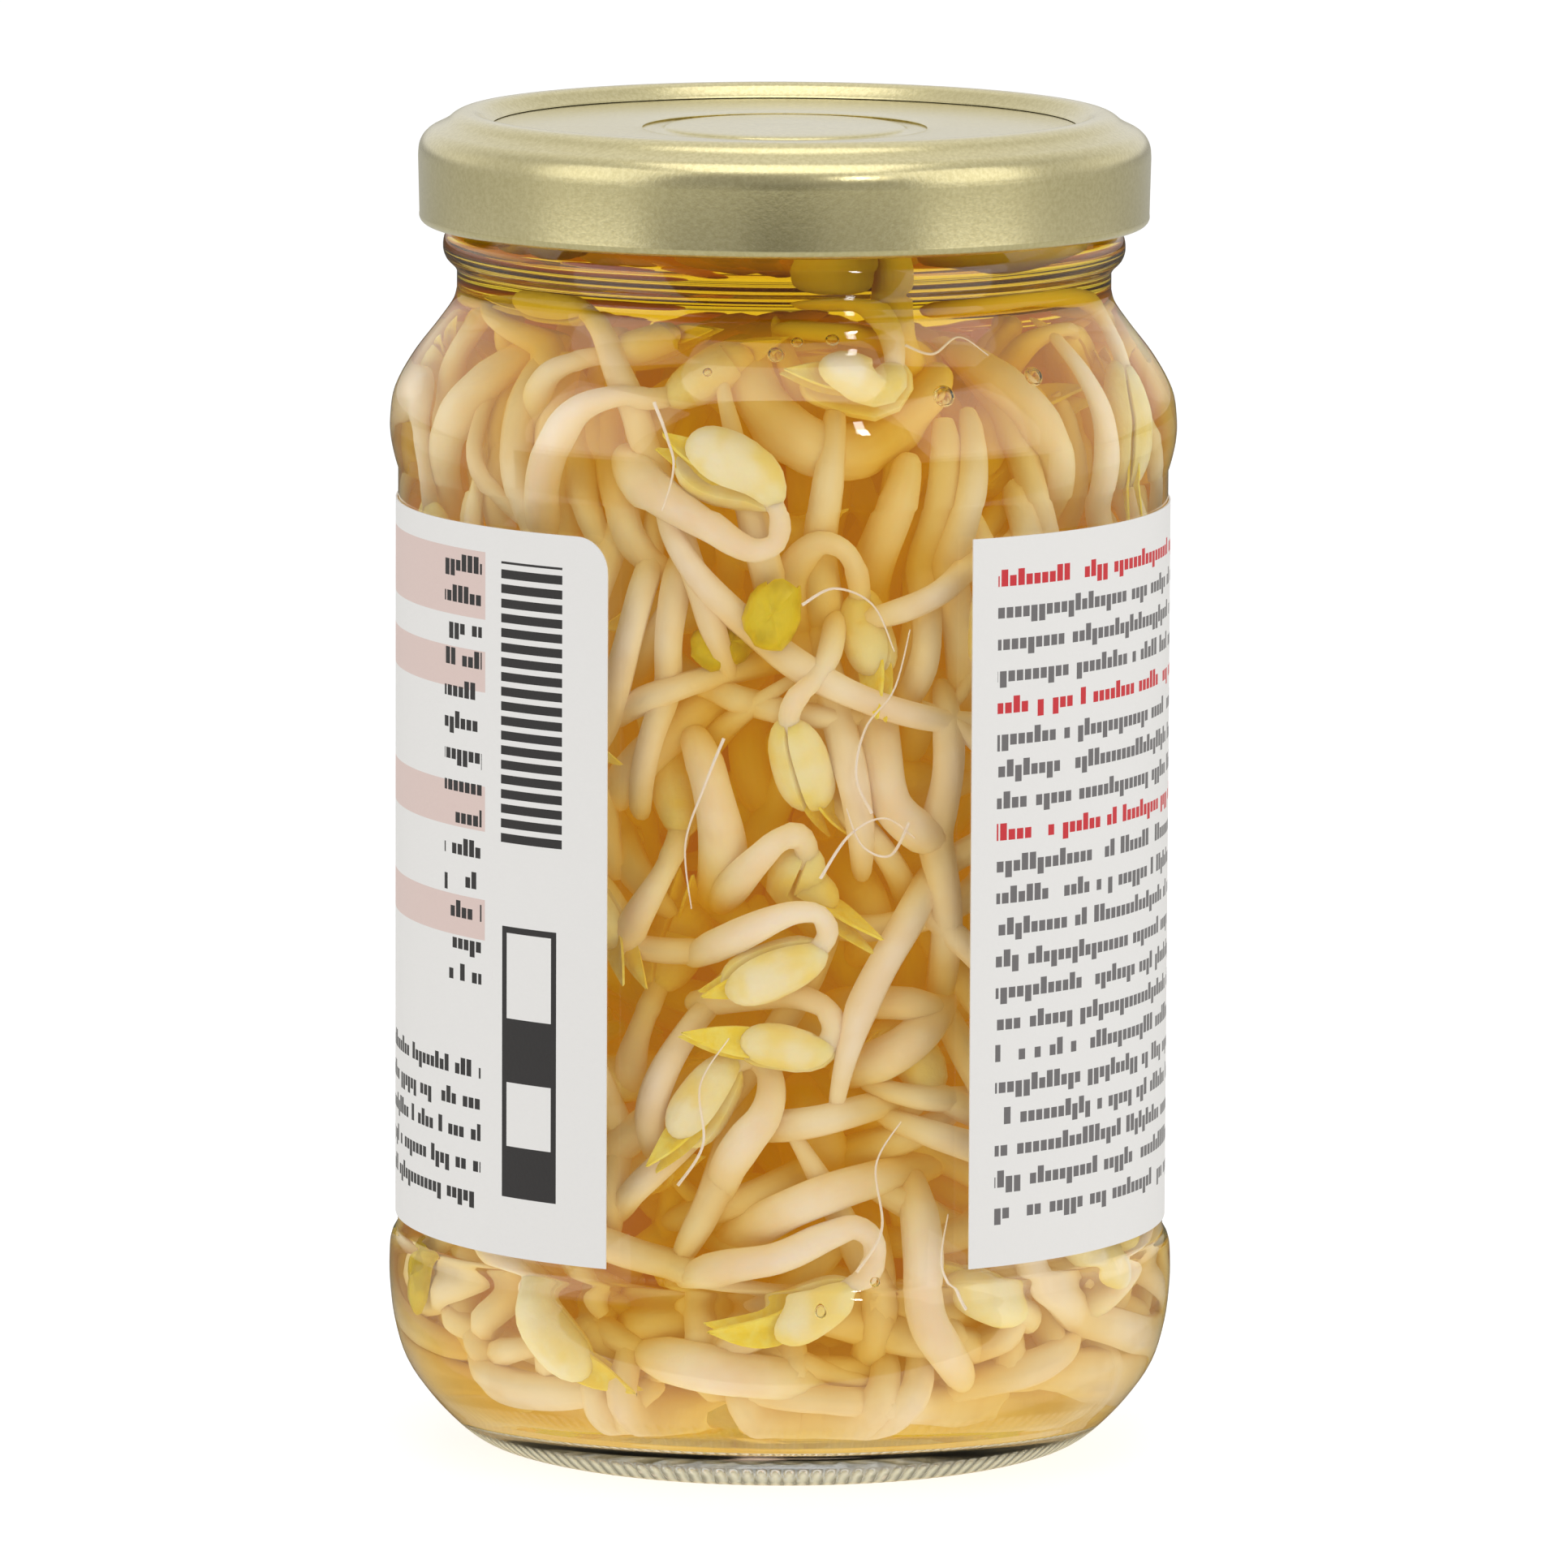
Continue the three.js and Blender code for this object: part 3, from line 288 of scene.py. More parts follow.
class Finish:
    """A material and its nodes. Any node comes from add(): its settings, then its sockets."""

    def __init__(self, name, library="materials"):
        self.material = getattr(bpy.data, library).new(name)
        self.material.use_nodes = True
        if library == "materials":
            self.material.cycles.emission_sampling = "NONE"
        self.tree = self.material.node_tree
        self.tree.nodes.clear()

    def add(self, kind, settings=None, sockets=None, output=0):
        node = self.tree.nodes.new("ShaderNode" + kind)
        for name, setting in (settings or {}).items():
            setattr(node, name, setting)
        for name, value in (sockets or {}).items():
            if isinstance(value, Value):
                self.tree.links.new(value.socket, node.inputs[name])
            else:
                node.inputs[name].default_value = value
        return Value(self, node.outputs[output])

    def math(self, operation, *values):
        """A Math node with these values, which may be numbers."""
        return self.add("Math", {"operation": operation}, dict(enumerate(values)))

    def ray(self, kind):
        """1 for rays of one kind and 0 for others."""
        return self.add("LightPath", output=RAY_KINDS.index(kind))

    def place(self):
        """The point on the piece, in metres in the jar's frame."""
        return self.add("TexCoord", output=3)

    def axes(self):
        """The same point's three distances."""
        point = self.place()
        return [self.add("SeparateXYZ", sockets={0: point}, output=i) for i in range(3)]

    def noise(self, scale, detail=2.0, stretch=(1, 1, 1), roughness=0.5):
        """A soft random pattern with so many lumps to the metre."""
        point = self.add("Mapping", {"vector_type": "POINT"},
                         {"Vector": self.place(), "Scale": stretch})
        return self.add("TexNoise", None, {"Vector": point, "Scale": scale, "Detail": detail,
                                           "Roughness": roughness})

    def mixed(self, factor, first, second):
        """One colour going over into another."""
        return self.add("Mix", {"data_type": "RGBA"}, {0: factor, 6: first, 7: second}, 2)

    def bumped(self, height, distance, **over):
        """A surface normal raised by a height from 0 to 1, over a distance in millimetres."""
        return self.add("Bump", None, {"Height": height, "Distance": distance * MM, **over})

    def principled(self, colour, roughness, sockets):
        """The all-purpose shader."""
        return self.add("BsdfPrincipled", None, {"Base Color": colour, "Roughness": roughness,
                                                 **sockets})

    def see_through(self, tint, ior, **sockets):
        """The same shader as a clear solid, liquid or gas."""
        return self.principled(tint, 0.0, {"IOR": ior, "Transmission Weight": 1.0, **sockets})

    def lets_lamps_through(self, shader):
        """Clear to lamp light and to light off other surfaces, and a shader to the eye."""
        let_by = self.ray("shadow").math("MAXIMUM", self.ray("diffuse"))
        return self.add("MixShader", None, {0: let_by, 1: shader,
                                            2: self.add("BsdfTransparent")})

    def done(self, shader, volume=None, output="Material"):
        """The finished material."""
        node = self.tree.nodes.new("ShaderNodeOutput" + output)
        self.tree.links.new(shader.socket, node.inputs["Surface"])
        if volume is not None:
            self.tree.links.new(volume.socket, node.inputs["Volume"])
        return self.material


def clear_glass():
    """Clear glass with slow waves in its skin and a ring of small knurls round its foot. The
    stippled band there gives off a faint painted glow.
    """
    finish = Finish("clear_glass")
    x, y, z = finish.axes()
    knurls = (x.math("ARCTAN2", y) * KNURL_COUNT).math("SINE") * 0.5 + 0.5
    band = (1 - z.between(1.2 * MM, 2.2 * MM)) * z.between(0.2 * MM, 0.5 * MM)
    waves = finish.noise(45, 1.0, (1, 1, 0.55))
    normal = finish.bumped(knurls * band, KNURL_HEIGHT,
                           Normal=finish.bumped(waves, GLASS_WAVES))
    clear = finish.see_through(GLASS_TINT, GLASS_IOR, Normal=normal)
    # The stippled band glows with painted light, its emission, which lightens the foot.
    stippled_with_painted_glow = finish.principled(STIPPLE_GREEN, 0.4, {
        "Normal": normal, "Emission Color": STIPPLE_GREEN, "Emission Strength": 0.25})
    stipple = (0.3 + 0.4 * knurls) * (1 - z.between(1.2 * MM, 2.4 * MM))
    return finish.done(finish.add("MixShader", None, {0: stipple, 1: clear, 2: stippled_with_painted_glow}))


def lets_light_by(piece):
    """Keeps a clear piece from shading what lies inside it."""
    piece.visible_shadow = False
    piece.visible_diffuse = False


def thread_start(shape, lug_angle):
    """Adds one thread start: a rounded ridge that climbs away over a closed lug."""
    closed_height = LUG_BOTTOM + LUG_THICK + THREAD_OVER_LUG + THREAD_RADIUS
    along = np.linspace(0, 1, 25)
    offsets = -THREAD_BEFORE + along * (THREAD_BEFORE + THREAD_AFTER)
    heights = closed_height + offsets / 360 * THREAD_RISE_PER_TURN
    places = [around(lug_angle + offset, FINISH_RADIUS + 0.05, height)
              for offset, height in zip(offsets, heights)]
    swell = THREAD_RADIUS * (0.3 + 0.7 * np.minimum(1, 8 * along * (1 - along)) ** 0.5)
    add_bar(shape, places, swell, swell)


def fused(piece, other):
    """Joins another object into a piece as one closed body."""
    union = piece.modifiers.new("union", "BOOLEAN")
    union.operation = "UNION"
    union.solver = "MANIFOLD"
    union.object = other
    bpy.context.view_layer.update()
    joined = bpy.data.meshes.new_from_object(
        piece.evaluated_get(bpy.context.evaluated_depsgraph_get()))
    piece.modifiers.clear()
    piece.data = joined
    bpy.data.objects.remove(other)


glass = clear_glass()
rim_arc = [(FINISH_RADIUS, RIM_HEIGHT - RIM_ROUND), (30.8, RIM_HEIGHT - 0.2),
           (30.2, RIM_HEIGHT), (29.1, RIM_HEIGHT), (28.5, RIM_HEIGHT - 0.2),
           (MOUTH_RADIUS, RIM_HEIGHT - RIM_ROUND)]
cavity = outline(CAVITY[:6], 30) + outline(CAVITY[6:], 24)
glass_section = (outline(FOOT, 16) + outline(HEEL, 36)
                 + [(PANEL_RADIUS, PANEL_BOTTOM), (PANEL_RADIUS, PANEL_TOP)]
                 + outline(SHOULDER, 36) + outline(BEAD, 18) + outline(rim_arc, 10)
                 + cavity[::-1])
jar = made(turned(glass_section), "glass_jar", [glass])
threads = bmesh.new()
for i in range(LUG_COUNT):
    thread_start(threads, LUG_FIRST_ANGLE + i * 360 / LUG_COUNT)
fused(jar, made(threads, "threads", [glass]))
lets_light_by(jar)
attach(jar, "jar")
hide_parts("jar_glass")

# ---- Brine ----------------------------------------------------------------------------------
# The liquid that the sprouts are kept in, pale amber from them, up to just under the lid. It
# reaches a hair into the glass, so that no air shows between the two.

BRINE_LEVEL = 117.6
BRINE_INTO_GLASS = 0.15
BRINE_AMBER = (0.97, 0.86, 0.06, 1)
BRINE_DENSITY = 85.0
BRINE_IOR = 1.34


def amber_brine():
    finish = Finish("amber_brine")
    shader = finish.see_through(CLEAR, BRINE_IOR)
    depth = finish.add("VolumeAbsorption", None, {"Color": BRINE_AMBER,
                                                  "Density": BRINE_DENSITY})
    return finish.done(finish.lets_lamps_through(shader), depth)


def widened(section, distance):
    """A half section moved outwards by a distance."""
    section = np.array(section)
    run = np.gradient(section, axis=0)
    run /= np.linalg.norm(run, axis=1)[:, None]
    wide = section + distance * np.stack([run[:, 1], -run[:, 0]], axis=1)
    wide[0] = (0, section[0][1] - distance)
    return wide.tolist()


brine_wall = MOUTH_RADIUS + BRINE_INTO_GLASS
brine_section = (widened(cavity, BRINE_INTO_GLASS)
                 + [(brine_wall, BRINE_LEVEL + 0.7), (brine_wall - 0.6, BRINE_LEVEL + 0.15),
                    (brine_wall - 2, BRINE_LEVEL), (0, BRINE_LEVEL)])
brine = made(turned(brine_section), "brine_full", [amber_brine()])
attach(brine, "jar")
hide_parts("brine")

# ---- Seed coats -----------------------------------------------------------------------------
# Olive skins that came off the beans: thin, wet, cupped like half a bean and torn at one end.
# Each lies as near the glass as it can, given by its angle, its height and its lean.

COATS = [(-1.5, 82.6, 75), (-10.6, 79.4, 20), (96, 101, 40), (201, 103, 110), (282, 16, 60)]
COAT_ROOM = 2.2
COAT_HALF_WIDE = 2.3
COAT_HALF_LONG = 3.5
COAT_DEEP = 1.9
COAT_THICK = 0.22
COAT_OLIVE = (0.66, 0.46, 0.015, 1)
COAT_GOLD = (0.86, 0.62, 0.03, 1)

STEP = 2.0
STRETCH = 31.0
LINING = 1.5
CLEARANCE = 0.55
SINK = 1.0
STEEPEST = 0.6
NEAR = 7.0
DEEPEST = 9.5

laid_places = np.zeros((0, 3))
laid_radii = np.zeros(0)
laid_owners = np.zeros(0, int)


def cavity_radius(height):
    """Radius of the inside of the glass at a height above its floor."""
    radii, heights = zip(*CAVITY[1:])
    return float(np.interp(height, heights, radii))


def distance_to_glass(radius, height):
    """Distance from a point in the half section to the inside of the glass."""
    starts = np.array(CAVITY[:-1], float)
    runs = np.diff(np.array(CAVITY, float), axis=0)
    offset = np.array([radius, height]) - starts
    share = np.clip((offset * runs).sum(1) / (runs * runs).sum(1), 0, 1)
    nearest = np.linalg.norm(offset - share[:, None] * runs, axis=1).min()
    if height < CAVITY[-1][1]:
        return nearest
    return min(nearest, MOUTH_RADIUS - radius)


def furthest_out(height, thickness):
    """How far out a station can lie at its height."""
    needed = thickness + LINING
    radius = cavity_radius(height) - needed
    for _ in range(60):
        missing = needed - distance_to_glass(radius, height)
        if missing <= 0:
            break
        radius -= max(missing, 0.02)
    return radius


def push_inwards(resting, low, high):
    """Pushes each station in until nothing blocks it, and tells whether any of them moved."""
    moved = False
    while True:
        here = resting[:, None]
        blocked = (here > low + 1e-6) & (here < high)
        if not blocked.any():
            return moved
        moved = True
        free = np.where(blocked, low, np.inf).min(axis=1)
        resting[:] = np.minimum(resting, free)


def ease_along(resting, rounding):
    """Keeps a line from turning inwards too steeply, and rounds it where that still helps."""
    most = STEEPEST * STEP
    for i in range(1, len(resting)):
        resting[i] = min(resting[i], resting[i - 1] + most)
    for i in range(len(resting) - 2, -1, -1):
        resting[i] = min(resting[i], resting[i + 1] + most)
    if rounding:
        middle = (resting[:-2] + resting[2:]) / 2
        resting[1:-1] = np.minimum(resting[1:-1], (resting[1:-1] + middle) / 2)


def lay_down(line, radii, owner, deepest, clearance=CLEARANCE):
    """Where each station rests, going inwards past everything laid before, or None."""
    line = np.asarray(line)
    near = laid_places[:, 2] > line[:, 1].min() - NEAR
    near &= laid_places[:, 2] < line[:, 1].max() + NEAR
    others = laid_places[near]
    turn = np.radians(line[:, 0])
    out_x = np.sin(turn)[:, None]
    out_y = -np.cos(turn)[:, None]
    gap = np.where(laid_owners[near] == owner, -SINK, clearance)
    reach = radii[:, None] + laid_radii[near] + gap
    rise = line[:, 1][:, None] - others[:, 2]
    along = out_x * others[:, 0] + out_y * others[:, 1]
    across = out_x * others[:, 1] - out_y * others[:, 0]
    square = reach * reach - rise * rise - across * across
    half = np.sqrt(np.maximum(square, 0))
    low = np.where(square > 0, along - half, np.inf)
    high = np.where(square > 0, along + half, -np.inf)
    resting = np.array([furthest_out(h, r) for h, r in zip(line[:, 1], radii)])
    for attempt in range(14):
        moved = push_inwards(resting, low, high)
        if resting.min() < STRETCH - deepest:
            return None
        if not moved and attempt > 2:
            return np.array([around(a, r, h) for (a, h), r in zip(line, resting)])
        ease_along(resting, attempt < 3)
    return None


def keep_laid(places, radii, owner):
    """Remembers a laid piece, so that later ones go round it."""
    global laid_places, laid_radii, laid_owners
    laid_places = np.vstack([laid_places, places])
    laid_radii = np.append(laid_radii, radii)
    laid_owners = np.append(laid_owners, [owner] * len(places))


def coat_line(angle, height, lean):
    across = math.degrees(STEP * math.cos(math.radians(lean)) / STRETCH)
    rise = STEP * math.sin(math.radians(lean))
    return [(angle + i * across, height + i * rise) for i in (-1, 0, 1)]


def coat_shape(places, seed):
    """Half of an egg-shaped skin, wrinkled, with one end torn open, as a bmesh."""
    before, middle, after = (Vector(place) for place in places)
    outward = Vector((middle.x, middle.y, 0)).normalized()
    axis = (after - before).normalized()
    across = axis.cross(outward).normalized()
    front = across.cross(axis)
    shape = bmesh.new()
    bmesh.ops.create_uvsphere(shape, u_segments=20, v_segments=14, radius=1)
    bmesh.ops.bisect_plane(shape, geom=shape.verts[:] + shape.edges[:] + shape.faces[:],
                           plane_co=(0, 0, 0), plane_no=(0, 0, -1), clear_outer=True)
    torn = [vert for vert in shape.verts if vert.co.y > 0.86 and vert.co.z < 0.4]
    bmesh.ops.delete(shape, geom=torn, context="VERTS")
    random = np.random.default_rng(seed)
    lobes = random.uniform(0, 2 * math.pi, 3)
    for vert in shape.verts:
        x, y, z = vert.co
        turn = math.atan2(y, x)
        ripple = 1 + 0.06 * math.sin(3 * turn + lobes[0]) + 0.04 * math.sin(7 * turn + lobes[1])
        ripple += 0.05 * z * math.sin(5 * y + lobes[2])
        place = middle + across * (x * COAT_HALF_WIDE * ripple)
        place += axis * (y * COAT_HALF_LONG * ripple) + front * (z * COAT_DEEP * ripple)
        vert.co = place * MM
    thicken(shape, COAT_THICK * MM)
    return shape


def olive_skin():
    finish = Finish("olive_skin")
    patches = finish.noise(420, 3).between(0.35, 0.65)
    colour = finish.mixed(patches, COAT_OLIVE, COAT_GOLD)
    veins = finish.noise(1600, 3, (1, 1, 0.4))
    return finish.done(finish.principled(colour, 0.3, {
        "Normal": finish.bumped(veins, 0.12),
        "Subsurface Weight": 0.15, "Subsurface Scale": 0.0015}))


skin = olive_skin()
for i, (angle, height, lean) in enumerate(COATS):
    room = np.full(3, COAT_ROOM)
    places = lay_down(coat_line(angle, height, lean), room, -1 - i, DEEPEST)
    keep_laid(places, room, -1 - i)
    coat = made(coat_shape(places, i), f"bean_skin_{i + 1}", [skin])
    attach(coat, "jar")
    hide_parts(f"seed_coat_{i + 1}")

# ---- Sprouts: how they lie ------------------------------------------------------------------
# Each is followed from its tail to its head's tip along the glass. Those in the label's gap
# are picked one by one, and the rest wander all round the jar. One that crosses another grows
# against it, so a bunch holds one to three sprouts.

STEM_RADIUS = 1.85
STOUT_RADIUS = 2.15
THIN_RADIUS = 1.6
NECK_THIN_RADIUS = 1.15
NECK_LENGTH = 2.5
NECK_SWELL = 8.0
ROOT_RADIUS = 0.55
ROOT_LENGTH = 12.0
SEED_LEAF_LENGTH = 9.5
FIRST_LEAF_SHOWS = 3.5
HEAD_ROOM = 2.9
BUNCH_SIZE = 3
MOST_BUNCHES = 50
FIRM = 1.45
LONGEST_JOIN = 4
DEEPEST_AT_FRONT = 16.0
ROUND_COUNT = 44
FRONT_SHARE = 40.0
GOLDEN_SHARE = 0.618034
BANDS = [(93, 110), (11, 24), (93, 110), (28, 88)]
TRIES = 60
EASIEST = 5.5
HOOK_RADIUS = 4.4
LOWEST_LINE = 9.5
HIGHEST_LINE = 113.5

WHOLE = {"stem": STEM_RADIUS, "head": True, "root": False}
ROOTED = {"stem": THIN_RADIUS, "head": True, "root": True}
STOUT = {"stem": STOUT_RADIUS, "head": False, "root": False}
CUT = {"stem": STEM_RADIUS, "head": False, "root": False}
ROOT = {"stem": THIN_RADIUS, "head": False, "root": True}
FACING = {**WHOLE, "face_on": True}

FRONT = [
    (WHOLE, [(-17, 49.5), (-8, 52), (0, 54.2), (5.5, 54.6), (7.6, 52.6), (5, 50.6),
         (-3, 48.6), (-14, 46.2)]),
    (WHOLE, [(-17, 45.2), (-8, 46), (1, 46.4), (7, 45.6), (8.8, 43.6), (6, 41.4),
         (-2, 41.9), (-14, 42.8)]),
    (WHOLE, [(-13, 54), (-8, 57), (-3, 60), (1, 61.8), (4.2, 61), (3.6, 58.6), (2, 57),
         (8, 54.6), (14, 51.8)]),
    (WHOLE, [(-11, 26), (-9.5, 29.5), (-6, 32.8), (-2, 36), (-2.2, 39.4), (-6, 40.6),
         (-10, 38.8), (-15.5, 34), (-20.5, 30)]),
    (WHOLE, [(-18, 18.6), (-9, 20.8), (0, 22), (7, 23.8), (12.5, 24.8), (15.6, 23.2),
         (14.6, 20.4), (10, 18.4), (-1, 15.6), (-9, 15.4)]),
    (WHOLE, [(-31, 96), (-20, 93), (-12, 90.6), (-6, 88.6), (-1.6, 88.8), (-0.6, 91.6),
         (-4, 94.6), (-13, 96.2), (-21, 98.8)]),
    (WHOLE, [(3, 111.2), (9, 111.8), (16, 111.2), (20.3, 108), (20.8, 103.8), (18, 101.2),
         (9, 102.4), (-1, 103.4)]),
    (STOUT, [(-17, 71), (-13, 67.5), (-10.6, 62.5), (-10.8, 58.5), (-13, 55.5),
         (-17, 52.6)]),
    (FACING, [(10, 82), (7, 77.5), (2.5, 74.8), (1.2, 72.4), (4, 67), (7.4, 61)]),
    (WHOLE, [(10.4, 60.5), (8.4, 70), (5, 76.5), (2, 81.5), (1.8, 85.8), (6, 89),
         (12, 87.4), (15.6, 80), (17, 73)]),
    (STOUT, [(24, 96), (20, 91), (17.2, 85), (17, 77), (17.2, 69.5), (18.6, 64.5),
         (24, 61.8), (31, 60)]),
    (WHOLE, [(25.2, 66.5), (24.6, 74), (24.4, 82), (25.2, 87.4), (29.2, 91.8),
         (34.8, 91.6), (38, 86.5), (39, 78), (39.4, 73)]),
    (STOUT, [(-7, 104), (-5.5, 100.6), (-1, 98.3), (6, 96.7), (14, 96.3), (22, 97.4),
         (29, 99.5), (34, 101.6)]),
    (STOUT, [(-27, 12.3), (-16, 12), (-6, 11.3), (3, 10.7), (9, 10.3)]),
    (CUT, [(25, 29), (24.6, 22), (24.6, 16.8), (28, 13.6), (34, 10.8), (40, 9.4)]),
    (FACING, [(-29, 36.5), (-26.5, 41), (-24.6, 44.6), (-21, 52), (-18.4, 57)]),
    (WHOLE, [(-12, 92.5), (-11, 89), (-10.6, 85.5), (-13, 83), (-22, 82.2), (-32, 80.6)]),
    (STOUT, [(-4, 42.2), (-10, 40.2), (-18, 36.8), (-26, 33.2), (-34, 29.6)]),
    (STOUT, [(-11, 21.6), (-5, 24), (3, 26.8), (12, 28.4), (22, 28.9), (34, 29.4)]),
    (CUT, [(10.5, 45), (17, 45.4), (24, 45.2), (30, 44.4)]),
    (STOUT, [(35, 46), (28, 43.4), (20, 40.8), (11.6, 38)]),
    (STOUT, [(3.8, 37.4), (6, 34.4), (9, 31.4), (12.4, 28.6)]),
    (WHOLE, [(-47, 87), (-43, 94), (-37, 99), (-29, 100.6), (-22, 100.2), (-12, 102.8),
         (-1, 106)]),
    (CUT, [(5, 62), (10, 60), (15, 57), (18, 53), (16.6, 50), (12, 48.4)]),
    (STOUT, [(-4, 79.6), (-10, 75.6), (-18, 72.2), (-26, 68), (-33, 63.6)]),
    (CUT, [(-5, 79), (-7, 74.6), (-7, 69), (-4.6, 65), (-1, 62.4)]),
    (STOUT, [(8, 62.4), (16, 60.4), (24, 57.8), (33, 54.6)]),
    (CUT, [(39, 96.5), (32, 94.2), (26, 91.6), (22, 87.6), (20.6, 82.8)]),
    (WHOLE, [(-23, 80), (-17, 84.4), (-9, 87.6), (2, 89.4), (12, 92.6)]),
    (WHOLE, [(-52, 97), (-46, 101.6), (-39, 103.2), (-34, 103.6), (-24, 105.6),
         (-14, 107.4)]),
    (CUT, [(-38, 97.4), (-31, 93), (-27, 88.6), (-22, 85.8)]),
    (WHOLE, [(-31, 49), (-25, 53.4), (-20.4, 58), (-19, 62), (-21.5, 66.6), (-27, 72.4)]),
    (ROOTED, [(-42, 25.6), (-36, 27), (-31, 27.8), (-22, 29.4), (-15, 31)]),
    (WHOLE, [(-47, 38.4), (-39, 37.6), (-33, 37.4), (-23, 38.2), (-15, 39.6)]),
    (WHOLE, [(9, 33), (16, 33.2), (23, 34.4), (27.5, 37.6), (24.6, 40.8), (18.5, 41.2),
         (13.6, 38.6)]),
    (CUT, [(19, 28), (18.6, 22), (18.2, 16), (17.4, 10.6)]),
    (ROOTED, [(52, 14), (46, 15.4), (40, 16.6), (32, 18.6), (24, 21.4)]),
    (WHOLE, [(-66, 20.4), (-52, 19.4), (-46, 18), (-44, 14.6), (-37, 11.4), (-29, 9.8)]),
    (CUT, [(24, 116), (23.6, 110), (24.4, 104.6), (30, 101.2), (38, 99)]),
    (ROOT, [(-2, 109), (0, 104), (4, 100), (9, 96.6), (16, 93)]),
    (CUT, [(5.5, 22), (5, 27.4), (2.4, 31.8), (-2.4, 33.4), (-7, 31.6)]),
]

bunches = []
seed = 20457


def draw(low, high):
    """The next number of a fixed series, between two limits."""
    global seed
    seed = seed * 16807 % 2147483647
    return low + (high - low) * seed / 2147483647


def spaced_stations(points):
    """Evenly spaced (angle, height) stations on a smooth line through given points."""
    per_degree = math.radians(STRETCH)
    controls = [(angle * per_degree, height) for angle, height in points]
    grid = np.linspace(0, 1, 201)
    fine = smooth_line(controls, grid)
    lengths = np.append(0, np.cumsum(np.linalg.norm(np.diff(fine, axis=0), axis=1)))
    count = int(math.floor(lengths[-1] / STEP + 0.5))
    shares = np.interp(np.linspace(0, lengths[-1], count + 1), lengths, grid)
    return smooth_line(controls, shares) / (per_degree, 1)


def radii_along(count, form):
    """Room that a sprout needs at each of its stations, as a radius."""
    from_tail = np.arange(count) * STEP
    from_tip = from_tail[::-1]
    swell = np.minimum(from_tail / ROOT_LENGTH, 1) if form["root"] else np.ones(count)
    radii = ROOT_RADIUS + (form["stem"] - ROOT_RADIUS) * swell
    if not form["head"]:
        return radii
    past_leaf = from_tip - FIRST_LEAF_SHOWS
    share = np.clip((past_leaf - SEED_LEAF_LENGTH - NECK_LENGTH) / NECK_SWELL, 0, 1)
    radii = NECK_THIN_RADIUS + (radii - NECK_THIN_RADIUS) * share
    leaf = HEAD_ROOM * np.sqrt(np.maximum(np.sin(math.pi * past_leaf / SEED_LEAF_LENGTH), 0))
    radii = np.where(past_leaf < SEED_LEAF_LENGTH, np.maximum(leaf, 1.4), radii)
    return np.where(past_leaf < 0, 0.6 + 0.8 * from_tip / FIRST_LEAF_SHOWS, radii)


def crosses(line, bunch):
    """Whether a line passes over a bunch, seen from outside the jar."""
    places = laid_places[laid_owners == bunch]
    angles = np.degrees(np.arctan2(places[:, 0], -places[:, 1]))
    turns = (line[:, 0][:, None] - angles + 540) % 360 - 180
    rises = line[:, 1][:, None] - places[:, 2]
    return bool((np.hypot(np.radians(turns) * STRETCH, rises) < 2).any())


def stations_sunk(places, radii, bunch):
    """How many stations are sunk into the stems and heads of one bunch."""
    others = (laid_owners == bunch) & (laid_radii > FIRM)
    away = np.linalg.norm(places[:, None] - laid_places[others], axis=2)
    sunk = radii[:, None] + laid_radii[others] - away > SINK * 0.8
    return int(((radii > FIRM) & sunk.any(axis=1)).sum())


def add_sprout(line, form, deepest):
    """Lays one sprout: joined where it crosses a bunch that has room, or in a new bunch."""
    line = np.asarray(line)
    radii = radii_along(len(line), form)
    best, fewest, resting = None, LONGEST_JOIN + 1, None
    for bunch, sprouts in enumerate(bunches):
        if len(sprouts) == BUNCH_SIZE or not crosses(line, bunch):
            continue
        places = lay_down(line, radii, bunch, deepest)
        sunk = 0 if places is None else stations_sunk(places, radii, bunch)
        if 0 < sunk < fewest:
            best, fewest, resting = bunch, sunk, places
    if best is None:
        resting = lay_down(line, radii, len(bunches), deepest)
        if resting is None or len(bunches) == MOST_BUNCHES:
            return False
        best = len(bunches)
        bunches.append([])
    bunches[best].append((resting, radii, form))
    keep_laid(resting, radii, best)
    return True


def wandering_line(angle, height, form, stem_length=(18, 30), headings=(0, 2 * math.pi)):
    """A line that starts somewhere, wanders gently, and may hook round before its head."""
    line = [(angle, height)]
    heading = draw(*headings)
    bend = draw(-0.035, 0.035)
    stem = draw(*stem_length)
    hook_turn = math.copysign(draw(0.4, 3), bend) if form["head"] else 0
    hook = abs(hook_turn) * HOOK_RADIUS
    head = SEED_LEAF_LENGTH + FIRST_LEAF_SHOWS if form["head"] else 0
    for i in range(1, int((stem + hook + head) / STEP) + 1):
        if i * STEP < stem:
            heading += bend * STEP
        elif i * STEP < stem + hook:
            heading += hook_turn * STEP / hook
        last_angle, last_height = line[-1]
        turn = math.degrees(STEP * math.cos(heading) / STRETCH)
        line.append((last_angle + turn, last_height + STEP * math.sin(heading)))
    return line


def stays_inside(line):
    return all(LOWEST_LINE < height < HIGHEST_LINE for _, height in line)


def lay_round_the_jar():
    forms = [WHOLE, CUT, ROOTED, WHOLE, STOUT, ROOT]
    for i in range(ROUND_COUNT):
        middle = FRONT_SHARE + i * GOLDEN_SHARE % 1 * (360 - 2 * FRONT_SHARE)
        low, high = BANDS[i % len(BANDS)]
        form = {**forms[i % len(forms)], "face_on": i % 3 == 0}
        for attempt in range(TRIES):
            line = wandering_line(middle + draw(-12, 12), draw(low, high), form)
            room = EASIEST + (DEEPEST - EASIEST) * attempt / TRIES
            if stays_inside(line) and add_sprout(line, form, room):
                break


for form, points in FRONT:
    add_sprout(spaced_stations(points), form, DEEPEST_AT_FRONT)
lay_round_the_jar()

